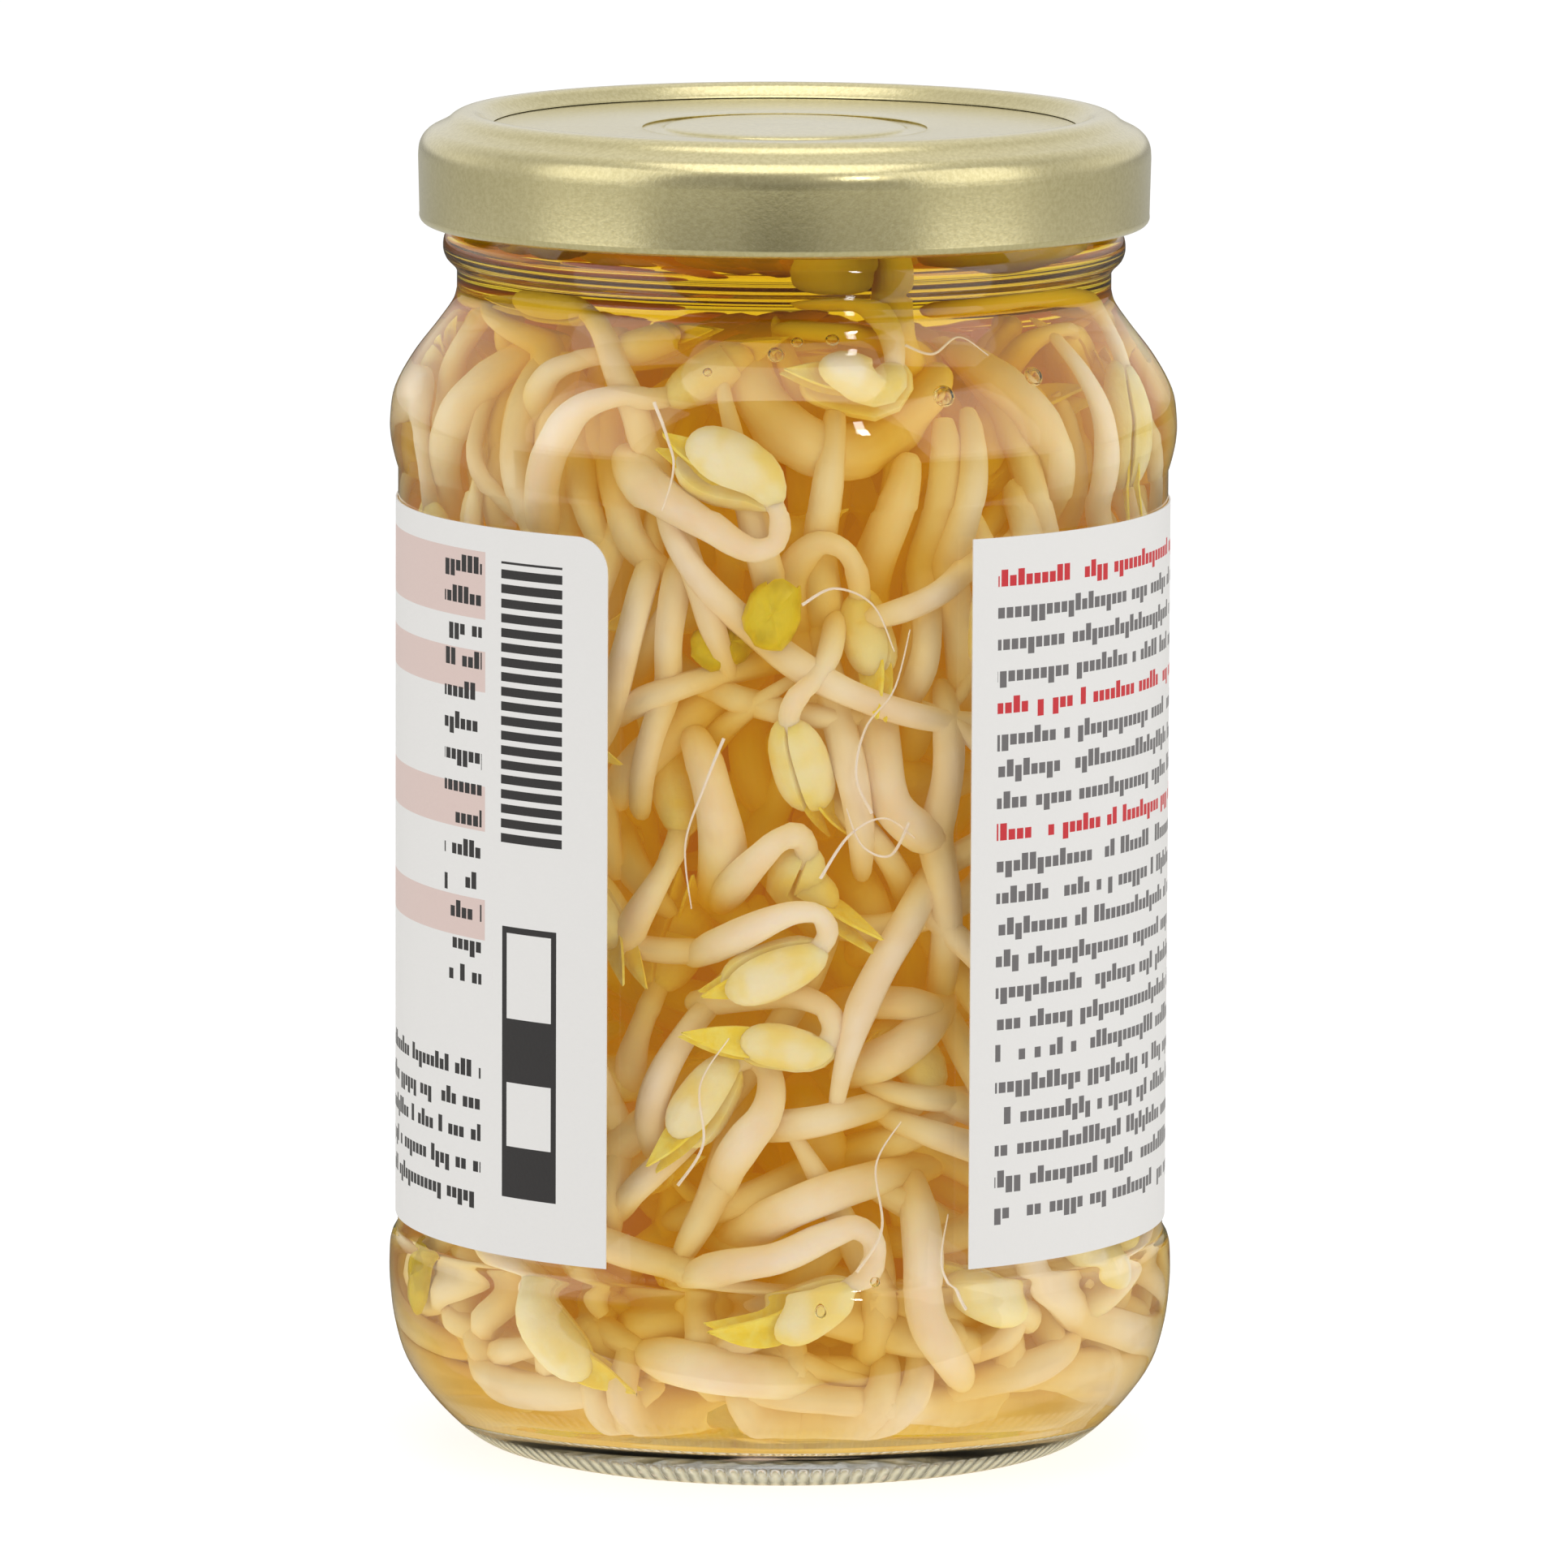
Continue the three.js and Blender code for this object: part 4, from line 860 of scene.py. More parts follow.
# ---- Sprouts: their shape -------------------------------------------------------------------
# A smooth watery stem with a cut or a hair-thin root end, a neck that thins and hooks, two
# seed leaves like split half beans that gape a little, and two pointed first leaves between.

FINER = 3
STEM_CORNERS = 14
SLIM = 0.88
END_REACH = 10.0
END_DEPTH = 4.5
CUT_ENDS = [0.5, 0.72, 0.82, 0.88, 0.94]
ROOT_ENDS = [0.3, 0.7]
LONG_SWELL = 0.07
SHORT_SWELL = 0.035
SQUEEZE = 0.08
SEED_LEAF_HALF_WIDE = 2.35
SEED_LEAF_THICK = 2.6
FIRST_LEAF_WIDE = 1.5
FIRST_LEAF_THICK = 0.22
FIRST_LEAF_HIDDEN = 5.0
STEM_FLESH, SEED_LEAF_FLESH, FIRST_LEAF_FLESH = range(3)

STEM_CREAM = (0.85, 0.65, 0.56, 1)
STEM_PALE = (0.91, 0.77, 0.79, 1)
LEAF_CREAM = (0.88, 0.77, 0.60, 1)
LEAF_YELLOW = (0.87, 0.68, 0.26, 1)
FIRST_YELLOW = (0.88, 0.64, 0.03, 1)
FIRST_PALE = (0.90, 0.74, 0.18, 1)
# Painted shade: the deep gold below stands in for shade and brine-filtered light towards the
# jar's middle and in its neck.
PAINTED_DEEP_SHADE_GOLD = (0.71, 0.45, 0.03, 1)
# Painted light: the glow colours are given off by the flesh though it is no lamp.
PAINTED_GLOW_NEAR = (0.105, 0.075, 0.052, 1)
PAINTED_GLOW_DEEP = (0.18, 0.095, 0.0, 1)
PAINTED_GLOW_IN_NECK = (0.03, 0.012, 0.0, 1)
PAINTED_SHADE_FROM, PAINTED_SHADE_FULL = 31.0, 23.5
PAINTED_NECK_SHADE = 0.6
SHADED_NECK_FROM, SHADED_NECK_FULL = 103.0, 110.0


def painted_depth_shade_and_glow(finish, colour):
    """Painted shade and light: flesh goes darker and golden towards the middle of the jar, less
    so near the bottom, and in its neck, standing in for shade and for light filtered by the
    brine. It also glows with painted light, faint in the neck.
    """
    x, y, z = finish.axes()
    radius = (x * x + y * y).math("SQRT")
    # Painted shade masks: one for the neck, and one towards the middle that fades near the
    # bottom.
    neck = z.between(SHADED_NECK_FROM * MM, SHADED_NECK_FULL * MM)
    depth = (1 - radius.between(PAINTED_SHADE_FULL * MM, PAINTED_SHADE_FROM * MM)) * z.between(2 * MM, 18 * MM)
    depth = (depth + neck * PAINTED_NECK_SHADE).clamped()
    # Painted glow, spread by the same masks.
    painted_glow = finish.mixed(depth, PAINTED_GLOW_NEAR, PAINTED_GLOW_DEEP)
    return finish.mixed(depth, colour, PAINTED_DEEP_SHADE_GOLD), finish.mixed(neck, painted_glow, PAINTED_GLOW_IN_NECK)


def wet_flesh(name, colours, patches, bumps, softness, roughness=0.4):
    """Soft wet flesh in two colours. Patches are a noise's scale and detail, and from where to
    where the first colour goes over into the second. Bumps are another noise, or none for the
    same, and their height. Softness is a share, a spread by colour and a reach."""
    finish = Finish(name)
    scale, detail, low, high = patches
    patch = finish.noise(scale, detail).between(low, high)
    colour, painted_glow = painted_depth_shade_and_glow(finish, finish.mixed(patch, *colours))
    bump, distance = bumps
    height = finish.noise(*bump) if bump else patch
    weight, radius, reach = softness
    # The emission is painted light: a glow that the flesh gives off though it is no lamp.
    return finish.done(finish.principled(colour, roughness, {
        "Normal": finish.bumped(height, distance), "Subsurface Weight": weight,
        "Subsurface Radius": radius, "Subsurface Scale": reach * MM, "IOR": 1.38,
        "Specular IOR Level": 0.0, "Emission Color": painted_glow, "Emission Strength": 1.0}))


def half_bean():
    """One seed leaf before bending: flat inside, full outside, from -1 at the neck to 1."""
    shape = bmesh.new()
    bmesh.ops.create_uvsphere(shape, u_segments=16, v_segments=14, radius=1)
    for vert in shape.verts:
        x, y, z = vert.co
        along = (z + 1) / 2
        blunt = (1 - z * z) ** 0.5
        fuller = (max(1 - abs(z) ** 2.6, 0) ** 0.5 / blunt) if blunt > 1e-6 else 1
        x *= fuller * (0.84 + 0.2 * along)
        y *= fuller * (1.0 if y > 0 else 0.1) * (0.9 + 0.1 * along)
        vert.co = (x, y + 0.08, z)
    return mesh_of(shape, "half_bean")


def leaf_blade():
    """One first leaf before bending: a thin pointed blade, creased along its middle."""
    shape = bmesh.new()
    bmesh.ops.create_grid(shape, x_segments=4, y_segments=10, size=1)
    for vert in shape.verts:
        x, y, _ = vert.co
        along = (y + 1) / 2
        width = math.sin(math.pi * along**0.75) ** 0.8 if 0 < along < 1 else 0
        vert.co = (x * max(width, 0.08), 0.45 * abs(x) * width, y)
    thicken(shape, FIRST_LEAF_THICK)
    return mesh_of(shape, "leaf_blade")


HALF_BEAN = half_bean()
LEAF_BLADE = leaf_blade()


def fine_line(places, finer):
    """A laid line made finer and smoother, with its distance from the tip at each point."""
    count = (len(places) - 1) * finer
    fine = smooth_line(places, np.linspace(0, 1, count + 1))
    steps = np.linalg.norm(np.diff(fine, axis=0), axis=1)
    from_tip = np.append(np.cumsum(steps[::-1])[::-1], 0)
    return fine, from_tip


def with_sunk_ends(line, from_tip, form):
    """Draws a sprout's tail, and the other end if it has no head, in among those behind."""
    from_tail = from_tip[0] - from_tip
    depth = END_DEPTH * np.clip(1 - from_tail / END_REACH, 0, 1) ** 2
    if not form["head"]:
        depth += END_DEPTH * np.clip(1 - from_tip / END_REACH, 0, 1) ** 2
    inward = line * (-1, -1, 0)
    inward /= np.maximum(np.linalg.norm(inward, axis=1), 1)[:, None]
    return line + inward * depth[:, None]


def placed_along(line, from_tip, distances, wide, thick, roll):
    """Points beside a line, each at its distance from the tip, run on straight past the tip."""
    sideways = wide * math.cos(roll) - thick * math.sin(roll)
    outwards = wide * math.sin(roll) + thick * math.cos(roll)
    sides, outs = directions_along(line)
    order = slice(None, None, -1)

    def at(values):
        return np.stack([np.interp(distances, from_tip[order], values[order, i])
                         for i in range(3)], axis=1)

    ahead = line[-1] - line[-2]
    beyond = np.maximum(-distances, 0)[:, None] * ahead / np.linalg.norm(ahead)
    return at(line) + beyond + at(sides) * sideways[:, None] + at(outs) * outwards[:, None]


def add_head(shape, line, from_tip, face_on, random):
    """Adds a pair of seed leaves and a pair of first leaves at the end of a line."""
    roll = (math.pi / 2 if face_on else 0) + random.normal(0, 0.22)
    gape = abs(random.normal(0.05, 0.07)) * (0.2 if face_on else 1)
    size = random.uniform(0.92, 1.08)
    for half in (1, -1):
        x, y, z = corners_of(HALF_BEAN).T
        along = (z + 1) / 2
        wide = x * SEED_LEAF_HALF_WIDE * size
        thick = half * (y * SEED_LEAF_THICK * size + gape * along * SEED_LEAF_LENGTH)
        distance = FIRST_LEAF_SHOWS + SEED_LEAF_LENGTH * (1 - along * size)
        places = placed_along(line, from_tip, distance, wide, thick, roll)
        add_copy(shape, HALF_BEAN, places, SEED_LEAF_FLESH)
    reach = FIRST_LEAF_SHOWS * random.uniform(0.7, 1.5)
    splay = random.uniform(0.1, 0.32)
    lean = random.normal(0, 0.25)
    for half in (1, -1):
        x, y, z = corners_of(LEAF_BLADE).T
        along = (z + 1) / 2
        length = FIRST_LEAF_HIDDEN + reach
        wide = x * FIRST_LEAF_WIDE
        thick = half * (y + splay * along**2 * length * 0.4) + lean * along**2 * length * 0.5
        distance = FIRST_LEAF_SHOWS + FIRST_LEAF_HIDDEN - along * length
        places = placed_along(line, from_tip, distance, wide, thick, roll)
        add_copy(shape, LEAF_BLADE, places, FIRST_LEAF_FLESH)


def add_fine_sprout(shape, places, radii, form, random, corners=STEM_CORNERS, finer=FINER):
    """Adds one sprout with its stem, and its head if it has one."""
    line, from_tip = fine_line(places, finer)
    line = with_sunk_ends(line, from_tip, form)
    stem = SLIM * np.interp(np.arange(len(line)) / finer, np.arange(len(radii)), radii)
    if form["head"]:
        sunk = FIRST_LEAF_SHOWS + SEED_LEAF_LENGTH - 1.5
        last = int(np.argmax(from_tip <= sunk)) + 1
        neck = np.clip((from_tip - sunk - 1.5) / NECK_LENGTH, 0, 1)
        stem = np.where(from_tip < sunk + 4, NECK_THIN_RADIUS * (0.85 + 0.15 * neck), stem)
    else:
        last = len(line)
    wave = random.uniform(0, 2 * math.pi, 3)
    along = np.arange(len(line)) * STEP / finer
    swell = 1 + LONG_SWELL * np.sin(along / 4.5 + wave[0])
    swell += SHORT_SWELL * np.sin(along / 1.7 + wave[1])
    squeeze = 1 + SQUEEZE * np.sin(along / 7 + wave[2])
    narrowed = np.ones(last)
    for i, share in enumerate(ROOT_ENDS if form["root"] else CUT_ENDS):
        narrowed[i] *= share
        if not form["head"]:
            narrowed[-1 - i] *= share
    wide = (stem * swell * squeeze)[:last] * narrowed
    deep = (stem * swell / squeeze)[:last] * narrowed
    add_bar(shape, line[:last], wide, deep, corners, STEM_FLESH)
    if form["head"]:
        add_head(shape, line, from_tip, form.get("face_on", False), random)


flesh = [
    wet_flesh("stem_flesh", (STEM_CREAM, STEM_PALE), (160, 3, 0.3, 0.7), ((900, 3), 0.08),
              (0.45, (1.0, 0.7, 0.4), 2.5), 0.42),
    wet_flesh("seed_leaf_flesh", (LEAF_CREAM, LEAF_YELLOW), (230, 2, 0.38, 0.68),
              ((1300, 2), 0.1), (0.4, (1.0, 0.75, 0.3), 2.0)),
    wet_flesh("first_leaf_flesh", (FIRST_YELLOW, FIRST_PALE), (700, 3, 0.35, 0.7),
              (None, 0.06), (0.25, (1.0, 0.7, 0.2), 1.0)),
]
random = np.random.default_rng(11)
for i, sprouts in enumerate(bunches):
    shape = bmesh.new()
    for places, radii, form in sprouts:
        add_fine_sprout(shape, places, radii, form, random)
    bunch = made(shape, f"sprout_bunch_{i + 1:02d}", flesh, 60)
    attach(bunch, "jar")
    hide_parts(f"sprouts_{i + 1:02d}")

# ---- Sprouts packed behind ------------------------------------------------------------------
# The rest of the jarful, which shows in the gaps between those at the glass. They are laid by
# the same rule, deeper and closer, and stand for the hundreds that fill a real jar.

BEHIND_COUNT = 760
BEHIND_DEEPEST = 14.0
BEHIND_CLEARANCE = -1.2
BEHIND_CORNERS = 8
BEHIND_FINER = 2
BEHIND_STEMS = (24, 54)
BEHIND_PIECES = 6
BEHIND_BANDS = [(88, 104), (12, 24), (24, 88), (84, 100), (24, 88), (8.2, 13)]
BEHIND_LOWEST = 7.5
BEHIND_HIGHEST = 109.0
SHOWN_GAP = 42.0
CORE_COUNT = 46
CORE_RADIUS = 15.0
CORE_LENGTH = 46.0
GOLDEN_ANGLE = 137.508
FLOOR_COUNT = 72
FLOOR_RADIUS = 28.5
FLOOR_LAYERS = 3
FLOOR_LIFT = 2.3


def behind_line(i, form):
    """A line in one of the bands: upright at the shoulder, and level down by the heel."""
    low, high = BEHIND_BANDS[i % len(BEHIND_BANDS)]
    gap_only = low < 60 < high
    angle = draw(-SHOWN_GAP, SHOWN_GAP) if gap_only else draw(-180, 180)
    up = math.pi / 2 if draw(0, 1) < 0.5 else -math.pi / 2
    headings = (0, 2 * math.pi)
    if low >= 84:
        headings = (up - 0.5, up + 0.5)
    if high < 20:
        headings = (up + math.pi / 2 - 0.3, up + math.pi / 2 + 0.3)
    return wandering_line(angle, draw(low, high), form, BEHIND_STEMS, headings)


def lay_behind():
    """Lays the sprouts of the next layers in, and tells how each one lies."""
    laid = []
    for i in range(BEHIND_COUNT):
        form = {"stem": draw(1.35, 1.95), "head": i % 5 in (0, 2), "root": i % 7 == 3,
                "face_on": i % 4 == 0}
        for attempt in range(6):
            line = behind_line(i, form)
            if not all(BEHIND_LOWEST < height < BEHIND_HIGHEST for _, height in line):
                continue
            radii = radii_along(len(line), form)
            owner = MOST_BUNCHES + i
            places = lay_down(np.array(line), radii, owner, BEHIND_DEEPEST, BEHIND_CLEARANCE)
            if places is not None:
                keep_laid(places, radii, owner)
                laid.append((places, radii, form))
                break
    return laid


def core_sprout(i):
    """A stem that runs up through the middle of the jar."""
    turn = math.radians(i * GOLDEN_ANGLE)
    each = CORE_COUNT // 2
    radius = CORE_RADIUS * math.sqrt((i % each + 0.5) / each)
    low = draw(11, 20) if i < each else draw(58, 66)
    lean_x, lean_y = draw(-0.16, 0.16), draw(-0.16, 0.16)
    rise = np.arange(0, CORE_LENGTH, STEP)
    sway = 1.5 * np.sin(rise / 9 + i)
    leaning = rise - CORE_LENGTH / 2
    x = radius * math.sin(turn) + lean_x * leaning + sway * math.cos(turn)
    y = -radius * math.cos(turn) + lean_y * leaning + sway * math.sin(turn)
    places = np.stack([x, y, low + rise], axis=1)
    return places, np.full(len(rise), STOUT_RADIUS), CUT


def floor_sprout(i):
    """A stem that lies on the bottom of the jar or on those that do."""
    layer = i % FLOOR_LAYERS
    turn = math.radians(i * GOLDEN_ANGLE)
    radius = FLOOR_RADIUS * math.sqrt((i + 0.5) / FLOOR_COUNT)
    heading = turn + math.pi / 2 + draw(-0.7, 0.7)
    bend = draw(-0.03, 0.03)
    places = []
    for step in np.arange(-9, 9.1, 1) * STEP:
        x = radius * math.sin(turn) + step * math.cos(heading + bend * step)
        y = -radius * math.cos(turn) + step * math.sin(heading + bend * step)
        away = math.hypot(x, y)
        shrink = min(1, FLOOR_RADIUS / away)
        rise = 0.35 * max(away - 24, 0)
        places.append((x * shrink, y * shrink, 7.3 + FLOOR_LIFT * layer + rise))
    return np.array(places), np.full(len(places), THIN_RADIUS), CUT


def shaded_flesh(material):
    """The same flesh where it lies behind others, with no light to soften it from within."""
    behind = material.copy()
    behind.name = material.name + "_behind"
    behind.node_tree.nodes["Principled BSDF"].inputs["Subsurface Weight"].default_value = 0
    return behind


packed_flesh = [shaded_flesh(material) for material in flesh]
packed = (lay_behind() + [core_sprout(i) for i in range(CORE_COUNT)]
          + [floor_sprout(i) for i in range(FLOOR_COUNT)])
for i in range(BEHIND_PIECES):
    shape = bmesh.new()
    for places, radii, form in packed[i::BEHIND_PIECES]:
        add_fine_sprout(shape, places, radii, form, random, BEHIND_CORNERS, BEHIND_FINER)
    layer = made(shape, f"packed_sprouts_{i + 1}", packed_flesh, 60)
    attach(layer, "jar")

# ---- Hair roots and bubbles -----------------------------------------------------------------
# Hair-thin root ends that came loose and float against the glass, and a few air bubbles that
# stay caught under the shoulder.

HAIRS = [[(14, 64), (11.5, 67.5), (13, 72), (17.5, 75.5), (20, 81)],
         [(20, 63), (17, 60), (12.5, 61), (10, 64.5)],
         [(-9, 71), (-12, 66.5), (-15, 61), (-14, 55)],
         [(22, 106), (27, 105), (33, 106.5), (38, 104.5)],
         [(3, 83.5), (8, 85), (14, 83.4), (17.5, 79)],
         [(6, 58), (10.5, 62), (16, 63.5), (21, 61.5)],
         [(-16, 29), (-12, 33), (-12.5, 38.5), (-8, 43)],
         [(12, 21), (16, 25), (15, 31), (19, 35)],
         [(-21, 101), (-17, 96.5), (-19, 92)],
         [(30, 17), (26, 21), (27, 26)]]
HAIR_RADIUS = 0.13
HAIR_OFF_WALL = 0.75
BUBBLES = [(-1.4, 105.2, 0.8), (8.8, 106.7, 0.7), (2.4, 106.5, 0.6), (27, 101.3, 1.0),
           (46, 102.2, 0.9), (-13, 103.6, 0.45), (15, 20, 0.5), (6.4, 17.4, 0.55)]
AIR_IN_BRINE_IOR = 0.746


def off_wall(height, distance):
    """Radius at a distance in from the glass."""
    return min(cavity_radius(height), 34.0) - distance


def clear_air():
    finish = Finish("clear_air")
    return finish.done(finish.see_through(CLEAR, AIR_IN_BRINE_IOR))


shape = bmesh.new()
for points in HAIRS:
    line = smooth_line(points, np.linspace(0, 1, 30))
    places = [around(angle, off_wall(height, HAIR_OFF_WALL), height) for angle, height in line]
    taper = HAIR_RADIUS * np.linspace(1.3, 0.5, len(places))
    add_bar(shape, places, taper, taper, 6)
hairs = made(shape, "hair_roots", [flesh[STEM_FLESH]])
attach(hairs, "jar")

shape = bmesh.new()
for angle, height, radius in BUBBLES:
    place = Vector(around(angle, off_wall(height, radius + 0.35), height)) * MM
    bmesh.ops.create_uvsphere(shape, u_segments=20, v_segments=12, radius=radius * MM,
                              matrix=Matrix.Translation(place))
bubbles = made(shape, "air_bubbles", [clear_air()])
lets_light_by(bubbles)
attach(bubbles, "jar")

# ---- Label ----------------------------------------------------------------------------------
# One strip of coated white paper glued round the panel, with one corner rounded. It carries
# lines of dashes in place of reading matter, pale table bands and a block of plain stripes.

LABEL_BOTTOM = 21.2
LABEL_TOP = 89.2
LABEL_GAP_LEFT = -26.2
LABEL_GAP_RIGHT = 28.7
LABEL_INNER = 36.26
LABEL_PAPER = 0.16
LABEL_CORNER = 3.2
LABEL_COLUMNS = 160
LABEL_ROWS = 40
PAPER_WHITE = (0.82, 0.805, 0.78, 1)
PAPER_PINK = (0.74, 0.58, 0.53, 1)
INK_BLACK = (0.025, 0.022, 0.022, 1)
INK_GREY = (0.16, 0.15, 0.15, 1)
INK_RED = (0.62, 0.02, 0.03, 1)
TEXT_PITCH = 2.95
TEXT_TOP = 86.7
LETTER_PITCH = 0.95


def printed_paper():
    """White coated paper. Places are millimetres from the strip's two ends, and heights."""
    finish = Finish("printed_paper")
    x, y, z = finish.axes()
    degrees = x.math("ARCTAN2", y * -1) * (180 / math.pi)
    per_degree = math.radians(LABEL_INNER)
    left = (LABEL_GAP_LEFT - degrees) * per_degree
    right = (degrees - LABEL_GAP_RIGHT) * per_degree
    height = z * (1 / MM)

    def within(value, low, high):
        return (value > low) * (value < high)

    def block(across, low, high, bottom, top):
        return within(across, low, high) * within(height, bottom, top)

    def lines_of_dashes(across, seed):
        """Rows of words without letters: short blocks, some of them taller or deeper."""
        rows = (TEXT_TOP - height) / TEXT_PITCH
        row = rows.math("FLOOR")
        inside = rows - row
        cells = across / LETTER_PITCH + row * 0.37
        cell = cells.math("FLOOR")
        chances = []
        for layer in (seed, seed + 5):
            spot = finish.add("CombineXYZ", None, {0: cell, 1: row, 2: layer})
            chances.append(finish.add("TexWhiteNoise", None, {"Vector": spot}))
        top = 0.36 - (chances[0] > 0.74) * 0.2
        bottom = 0.7 + (chances[0] < 0.14) * 0.18
        return ((inside > top) * (inside < bottom) * (cells - cell > 0.2)
                * (chances[1] < 0.85))

    table = block(left, 14.4, 60, 80.5, 86.8)
    for bottom, top in [(73.7, 77.5), (60.7, 64.9), (50.5, 54.3)]:
        table = table + block(left, 14.4, 60, bottom, top)
    colour = finish.mixed(table.clamped(), PAPER_WHITE, PAPER_PINK)

    stripes = (height * 4.6).math("SINE")
    striped = block(left, 4.8, 12.2, 59.5, 86.2) * (stripes > -0.35)
    frame_out = block(left, 5.4, 12.0, 26.8, 52.2)
    frame_in = block(left, 6.0, 11.4, 27.4, 51.6)
    bands = block(left, 6.0, 11.4, 27.4, 31.6) + block(left, 6.0, 11.4, 37.6, 43.6)
    outlined = (frame_out - frame_in + bands).clamped()
    figures = block(left, 14.9, 21, 45, 86.5) * lines_of_dashes(left, 4)
    small = block(left, 15, 62, 24.5, 39.5) * lines_of_dashes(left, 8)
    black = (striped + outlined + figures + small).clamped()
    colour = finish.mixed(black, colour, INK_BLACK)

    words = block(right, 2.7, 76, 25, 86.2) * lines_of_dashes(right, 1)
    heading = within(height, 83.75, 86.7)
    for top in (74.9, 63.1):
        heading = heading + within(height, top - TEXT_PITCH, top)
    ink = finish.mixed(heading.clamped(), INK_GREY, INK_RED)
    colour = finish.mixed(words, colour, ink)

    fibres = finish.noise(2600, 3)
    return finish.done(finish.principled(colour, 0.5, {"Normal": finish.bumped(fibres, 0.03)}))


shape = bmesh.new()
bmesh.ops.create_grid(shape, x_segments=LABEL_COLUMNS, y_segments=LABEL_ROWS, size=1)
span = math.radians(360 + LABEL_GAP_LEFT - LABEL_GAP_RIGHT) * LABEL_INNER
for vert in shape.verts:
    drop = (LABEL_TOP - LABEL_BOTTOM) * ((1 - vert.co.y) / 2)**2
    edge = LABEL_CORNER - math.sqrt(LABEL_CORNER**2 - max(LABEL_CORNER - drop, 0)**2)
    from_left = span * (1 - vert.co.x) / 2
    from_left += edge * max(1 - from_left / 12, 0)
    angle = LABEL_GAP_LEFT - math.degrees(from_left / LABEL_INNER)
    vert.co = Vector(around(angle, LABEL_INNER, LABEL_TOP - drop)) * MM
thicken(shape, -LABEL_PAPER * MM)
strip = made(shape, "paper_label", [printed_paper()])
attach(strip, "jar")
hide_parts("label")

# ---- Sealing ring ---------------------------------------------------------------------------
# The soft cream compound flowed into the lid's channel. Its shape is the one already made.

SEAL_CREAM = (0.78, 0.73, 0.62, 1)
SEAL_PALE = (0.86, 0.82, 0.73, 1)


def soft_compound():
    finish = Finish("soft_compound")
    pits = finish.noise(1500, 2)
    colour = finish.mixed(pits, SEAL_CREAM, SEAL_PALE)
    return finish.done(finish.principled(colour, 0.55, {"Normal": finish.bumped(pits, 0.04)}))


sealing_ring = bpy.data.objects["sealing_ring"]
sealing_ring.data.materials.clear()
sealing_ring.data.materials.append(soft_compound())

# ---- Lid ------------------------------------------------------------------------------------
# A twist-off lid pressed from tinplate: a sunk panel with faint rings, a raised rim, a round
# corner, a straight skirt curled in at the bottom and four lugs. Satin olive-gold lacquer.

LID_RADIUS = 34.35
LID_TOP = 125.5
LID_SHEET = 0.6
LID_PANEL_HEIGHT = 124.1
CURL_RADIUS = 0.75
CURL_HEIGHT = 115.85
LUG_HALF_ANGLE = 11.0
LUG_REACH = 31.5
GOLD = (0.755, 0.66, 0.345, 1)
GOLD_DEEP = (0.58, 0.51, 0.25, 1)
GOLD_PALE = (0.81, 0.74, 0.43, 1)


def gold_lacquer():
    """Tinplate under a clear gold lacquer, with a fine grain from the rolled sheet."""
    finish = Finish("gold_lacquer")
    grain = finish.noise(2400, 2, roughness=0.7)
    cloud = finish.noise(60, 2)
    colour = finish.mixed(grain.between(0.3, 0.7), GOLD_DEEP, GOLD_PALE)
    colour = finish.mixed(0.35 + cloud * 0.4, colour, GOLD)
    shader = finish.add("BsdfPrincipled", None, {
        "Base Color": colour, "Metallic": 1.0, "Roughness": 0.215 + cloud * 0.09,
        "Coat Weight": 0.5, "Coat Roughness": 0.16, "Normal": finish.bumped(grain, 0.012)})
    return finish.done(shader)


crown = [(29.2, LID_TOP), (30.2, LID_TOP - 0.04), (31.0, 125.15), (31.7, 124.6),
         (32.5, 124.15), (33.3, 123.75), (33.95, 123.1), (34.27, 122.3), (LID_RADIUS, 121.4)]
channel = [(27.3, LID_PANEL_HEIGHT - LID_SHEET), (28.3, LID_TOP - LID_SHEET - 0.35),
           (29, LID_TOP - LID_SHEET), (30.4, LID_TOP - LID_SHEET), (32.6, 123.6),
           (LID_RADIUS - LID_SHEET - 0.15, 122.4), (LID_RADIUS - LID_SHEET, 121.3)]
panel = [(28.7, LID_TOP - 0.25), (27.5, LID_PANEL_HEIGHT + 0.15), (26.7, LID_PANEL_HEIGHT),
         (14.6, LID_PANEL_HEIGHT), (13.4, LID_PANEL_HEIGHT - 0.25),
         (11.6, LID_PANEL_HEIGHT - 0.25), (10.4, LID_PANEL_HEIGHT + 0.1),
         (4.2, LID_PANEL_HEIGHT + 0.3), (0, LID_PANEL_HEIGHT + 0.3)]
curl = []
for turn in np.radians(np.linspace(-225, 15, 25)):
    curl.append((LID_RADIUS - CURL_RADIUS - 0.1 + CURL_RADIUS * math.cos(turn),
                 CURL_HEIGHT + CURL_RADIUS * math.sin(turn)))
lid_section = ([(0, LID_PANEL_HEIGHT - LID_SHEET), (26.9, LID_PANEL_HEIGHT - LID_SHEET)]
               + outline(channel, 30) + [(LID_RADIUS - LID_SHEET, 117.4)] + curl
               + outline(crown, 30)[::-1] + outline(panel, 56))
gold = gold_lacquer()
lid = made(turned(lid_section), "twist_off_lid", [gold], 50)
lugs = bmesh.new()
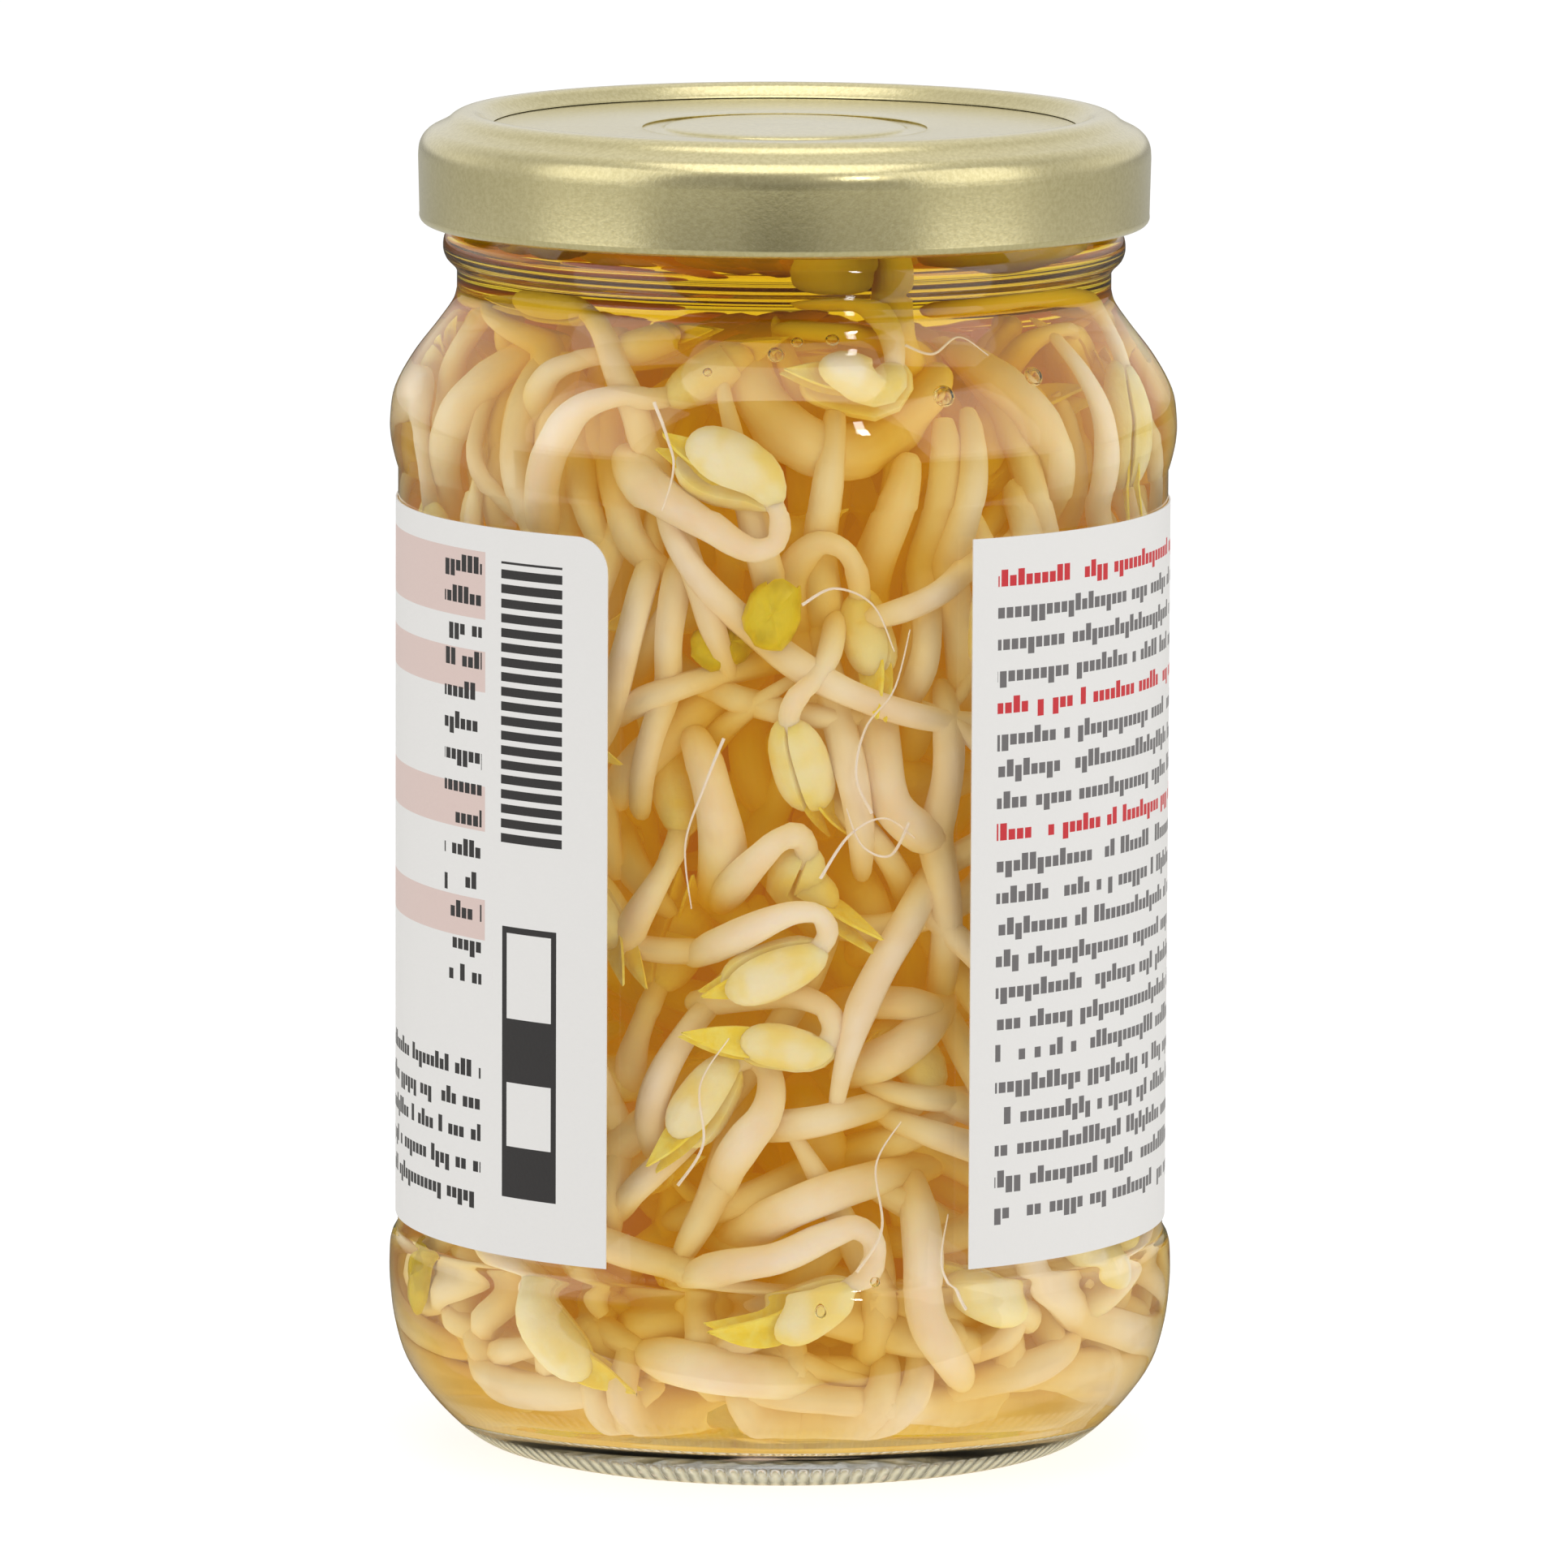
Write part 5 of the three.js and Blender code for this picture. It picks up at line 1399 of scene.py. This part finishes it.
for i in range(LUG_COUNT):
    lug = bmesh.new()
    bmesh.ops.create_grid(lug, x_segments=16, y_segments=4, size=1)
    for vert in lug.verts:
        x, y, _ = vert.co
        root_share = (y + 1) / 2
        half = LUG_HALF_ANGLE * (0.6 + 0.4 * root_share**2)
        radius = LUG_REACH + (LID_RADIUS - CURL_RADIUS - LUG_REACH) * root_share
        radius += 0.5 * x**4 * (1 - root_share)
        angle = LUG_FIRST_ANGLE + i * 360 / LUG_COUNT + x * half
        vert.co = Vector(around(angle, radius, LUG_BOTTOM)) * MM
    bmesh.ops.recalc_face_normals(lug, faces=lug.faces)
    up = LUG_THICK * MM
    grown = bmesh.ops.extrude_face_region(lug, geom=lug.faces[:])["geom"]
    bmesh.ops.translate(lug, vec=(0, 0, up),
                        verts=[part for part in grown if isinstance(part, bmesh.types.BMVert)])
    bmesh.ops.recalc_face_normals(lug, faces=lug.faces)
    mesh = mesh_of(lug, "lug")
    lugs.from_mesh(mesh)
    bpy.data.meshes.remove(mesh)
fused(lid, made(lugs, "lugs", [gold]))
lid.data.shade_smooth()
lid.data.set_sharp_from_angle(angle=math.radians(50))
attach(lid, "lid")
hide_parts("lid")

# ---- Floor, lamps and camera ----------------------------------------------------------------
# A white floor in a softly lit white room, three broad soft lamps and a small bright one.

FLOOR_DROP = 0.05
FLOOR_FRONT = 40.0
FLOOR_GREY = (0.5, 0.5, 0.5, 1)
FLOOR_IN_METAL = (0.66, 0.66, 0.62, 1)
FLOOR_IN_GLASS = (0.12, 0.12, 0.11, 1)
ROOM_LIGHT = 0.34
SIDE_LIGHT = 0.24
BACK_LIGHT = 0.46
BACK_LIGHT_THROUGH = 0.14
TOP_LIGHT = 0.3
LOW_FRONT_DARKER = 0.3
GLASS_FRONT_DARKER = 0.8
LAMP_AIM = 60.0
CAMERA_AWAY = 1306.56
CAMERA_HEIGHT_ANGLE = 8.234
CAMERA_ROLL = 0.258
LOOK_AT = (0.20, 0.0, 61.84)
LENS = 318.1


def aimed(name, energy, size, azimuth, elevation, away):
    """A lamp that shines on the jar from an angle to the front, an elevation and a distance."""
    light = bpy.data.lights.new(name, "AREA")
    light.energy = energy
    light.shape = "RECTANGLE"
    light.size, light.size_y = size
    lamp = bpy.data.objects.new(name, light)
    level = math.cos(math.radians(elevation))
    toward = Vector((math.sin(math.radians(azimuth)) * level,
                     -math.cos(math.radians(azimuth)) * level,
                     math.sin(math.radians(elevation))))
    lamp.location = toward * away + Vector((0, 0, LAMP_AIM * MM))
    lamp.rotation_euler = toward.to_track_quat("Z", "Y").to_euler()
    bpy.context.scene.collection.objects.link(lamp)


shape = bmesh.new()
bmesh.ops.create_grid(shape, x_segments=1, y_segments=1, size=3.0,
                      matrix=Matrix.Translation((0, 0, -FLOOR_DROP * MM)))
finish = Finish("white_floor")
lit = finish.add("BsdfPrincipled", None, {
    "Base Color": FLOOR_GREY, "Roughness": 0.6,
    "Emission Color": CLEAR, "Emission Strength": 0.66})
mirrored = finish.add("BsdfDiffuse", None, {
    "Color": finish.mixed(finish.ray("sharp"), FLOOR_IN_METAL, FLOOR_IN_GLASS)})
x, y, z = finish.axes()
in_front = y < -FLOOR_FRONT * MM
darkened = finish.ray("glossy") * (finish.ray("reflected") + in_front).clamped()
floor = made(shape, "floor", [
    finish.done(finish.add("MixShader", None, {0: darkened, 1: lit, 2: mirrored}))])


def white_room():
    """Pure white to the camera. To the jar, brighter at the sides, the top and the back."""
    finish = Finish("white_room", "worlds")
    toward = finish.add("TexCoord", output=0)
    x, y, z = [finish.add("SeparateXYZ", sockets={0: toward}, output=i) for i in range(3)]
    aside = x.math("ABSOLUTE")
    through = finish.ray("through")
    light = ROOM_LIGHT + aside.between(0.6, 0.9) * SIDE_LIGHT
    behind = y.between(0.1, 0.9) * z.between(-0.02, 0.12)
    light = light + behind * (BACK_LIGHT + through * BACK_LIGHT_THROUGH)
    light = light + z.between(0.5, 0.95) * TOP_LIGHT
    spot = (1 - aside.between(0.1, 0.26)) * (y < 0) * z.between(-0.6, -0.3)
    light = light - spot * (1 - z.between(0.0, 0.2)) * (1 - through) * LOW_FRONT_DARKER
    in_glass = finish.ray("sharp") * (y < 0) * (1 - aside.between(0.45, 0.8))
    light = light * (1 - in_glass * GLASS_FRONT_DARKER)
    strength = light + finish.ray("camera") * (1 - light)
    background = finish.add("Background", None, {"Color": CLEAR, "Strength": strength})
    return finish.done(background, output="World")


bpy.context.scene.world = white_room()

aimed("left_softbox", 2.6, (0.9, 1.2), -62, 28, 1.3)
aimed("right_softbox", 2.8, (0.9, 1.2), 62, 28, 1.3)
aimed("top_softbox", 3.4, (1.0, 1.0), 0, 80, 1.3)
aimed("sparkle", 0.5, (0.045, 0.14), 25, 32, 1.0)

camera_data = bpy.data.cameras.new("camera")
camera_data.lens = LENS
camera_data.sensor_width = 36
camera_data.clip_end = 10
camera = bpy.data.objects.new("camera", camera_data)
elevation = math.radians(CAMERA_HEIGHT_ANGLE)
back = Vector((0, -math.cos(elevation), math.sin(elevation)))
camera.location = (Vector(LOOK_AT) + back * CAMERA_AWAY) * MM
turned_to = back.to_track_quat("Z", "Y").to_matrix()
turned_to = turned_to @ Matrix.Rotation(math.radians(CAMERA_ROLL), 3, "Z")
camera.rotation_euler = turned_to.to_euler()
bpy.context.scene.collection.objects.link(camera)
bpy.context.scene.camera = camera
bpy.context.scene.view_settings.view_transform = "Standard"
bpy.context.scene.cycles.use_light_tree = False
bpy.context.scene.cycles.diffuse_bounces = 2
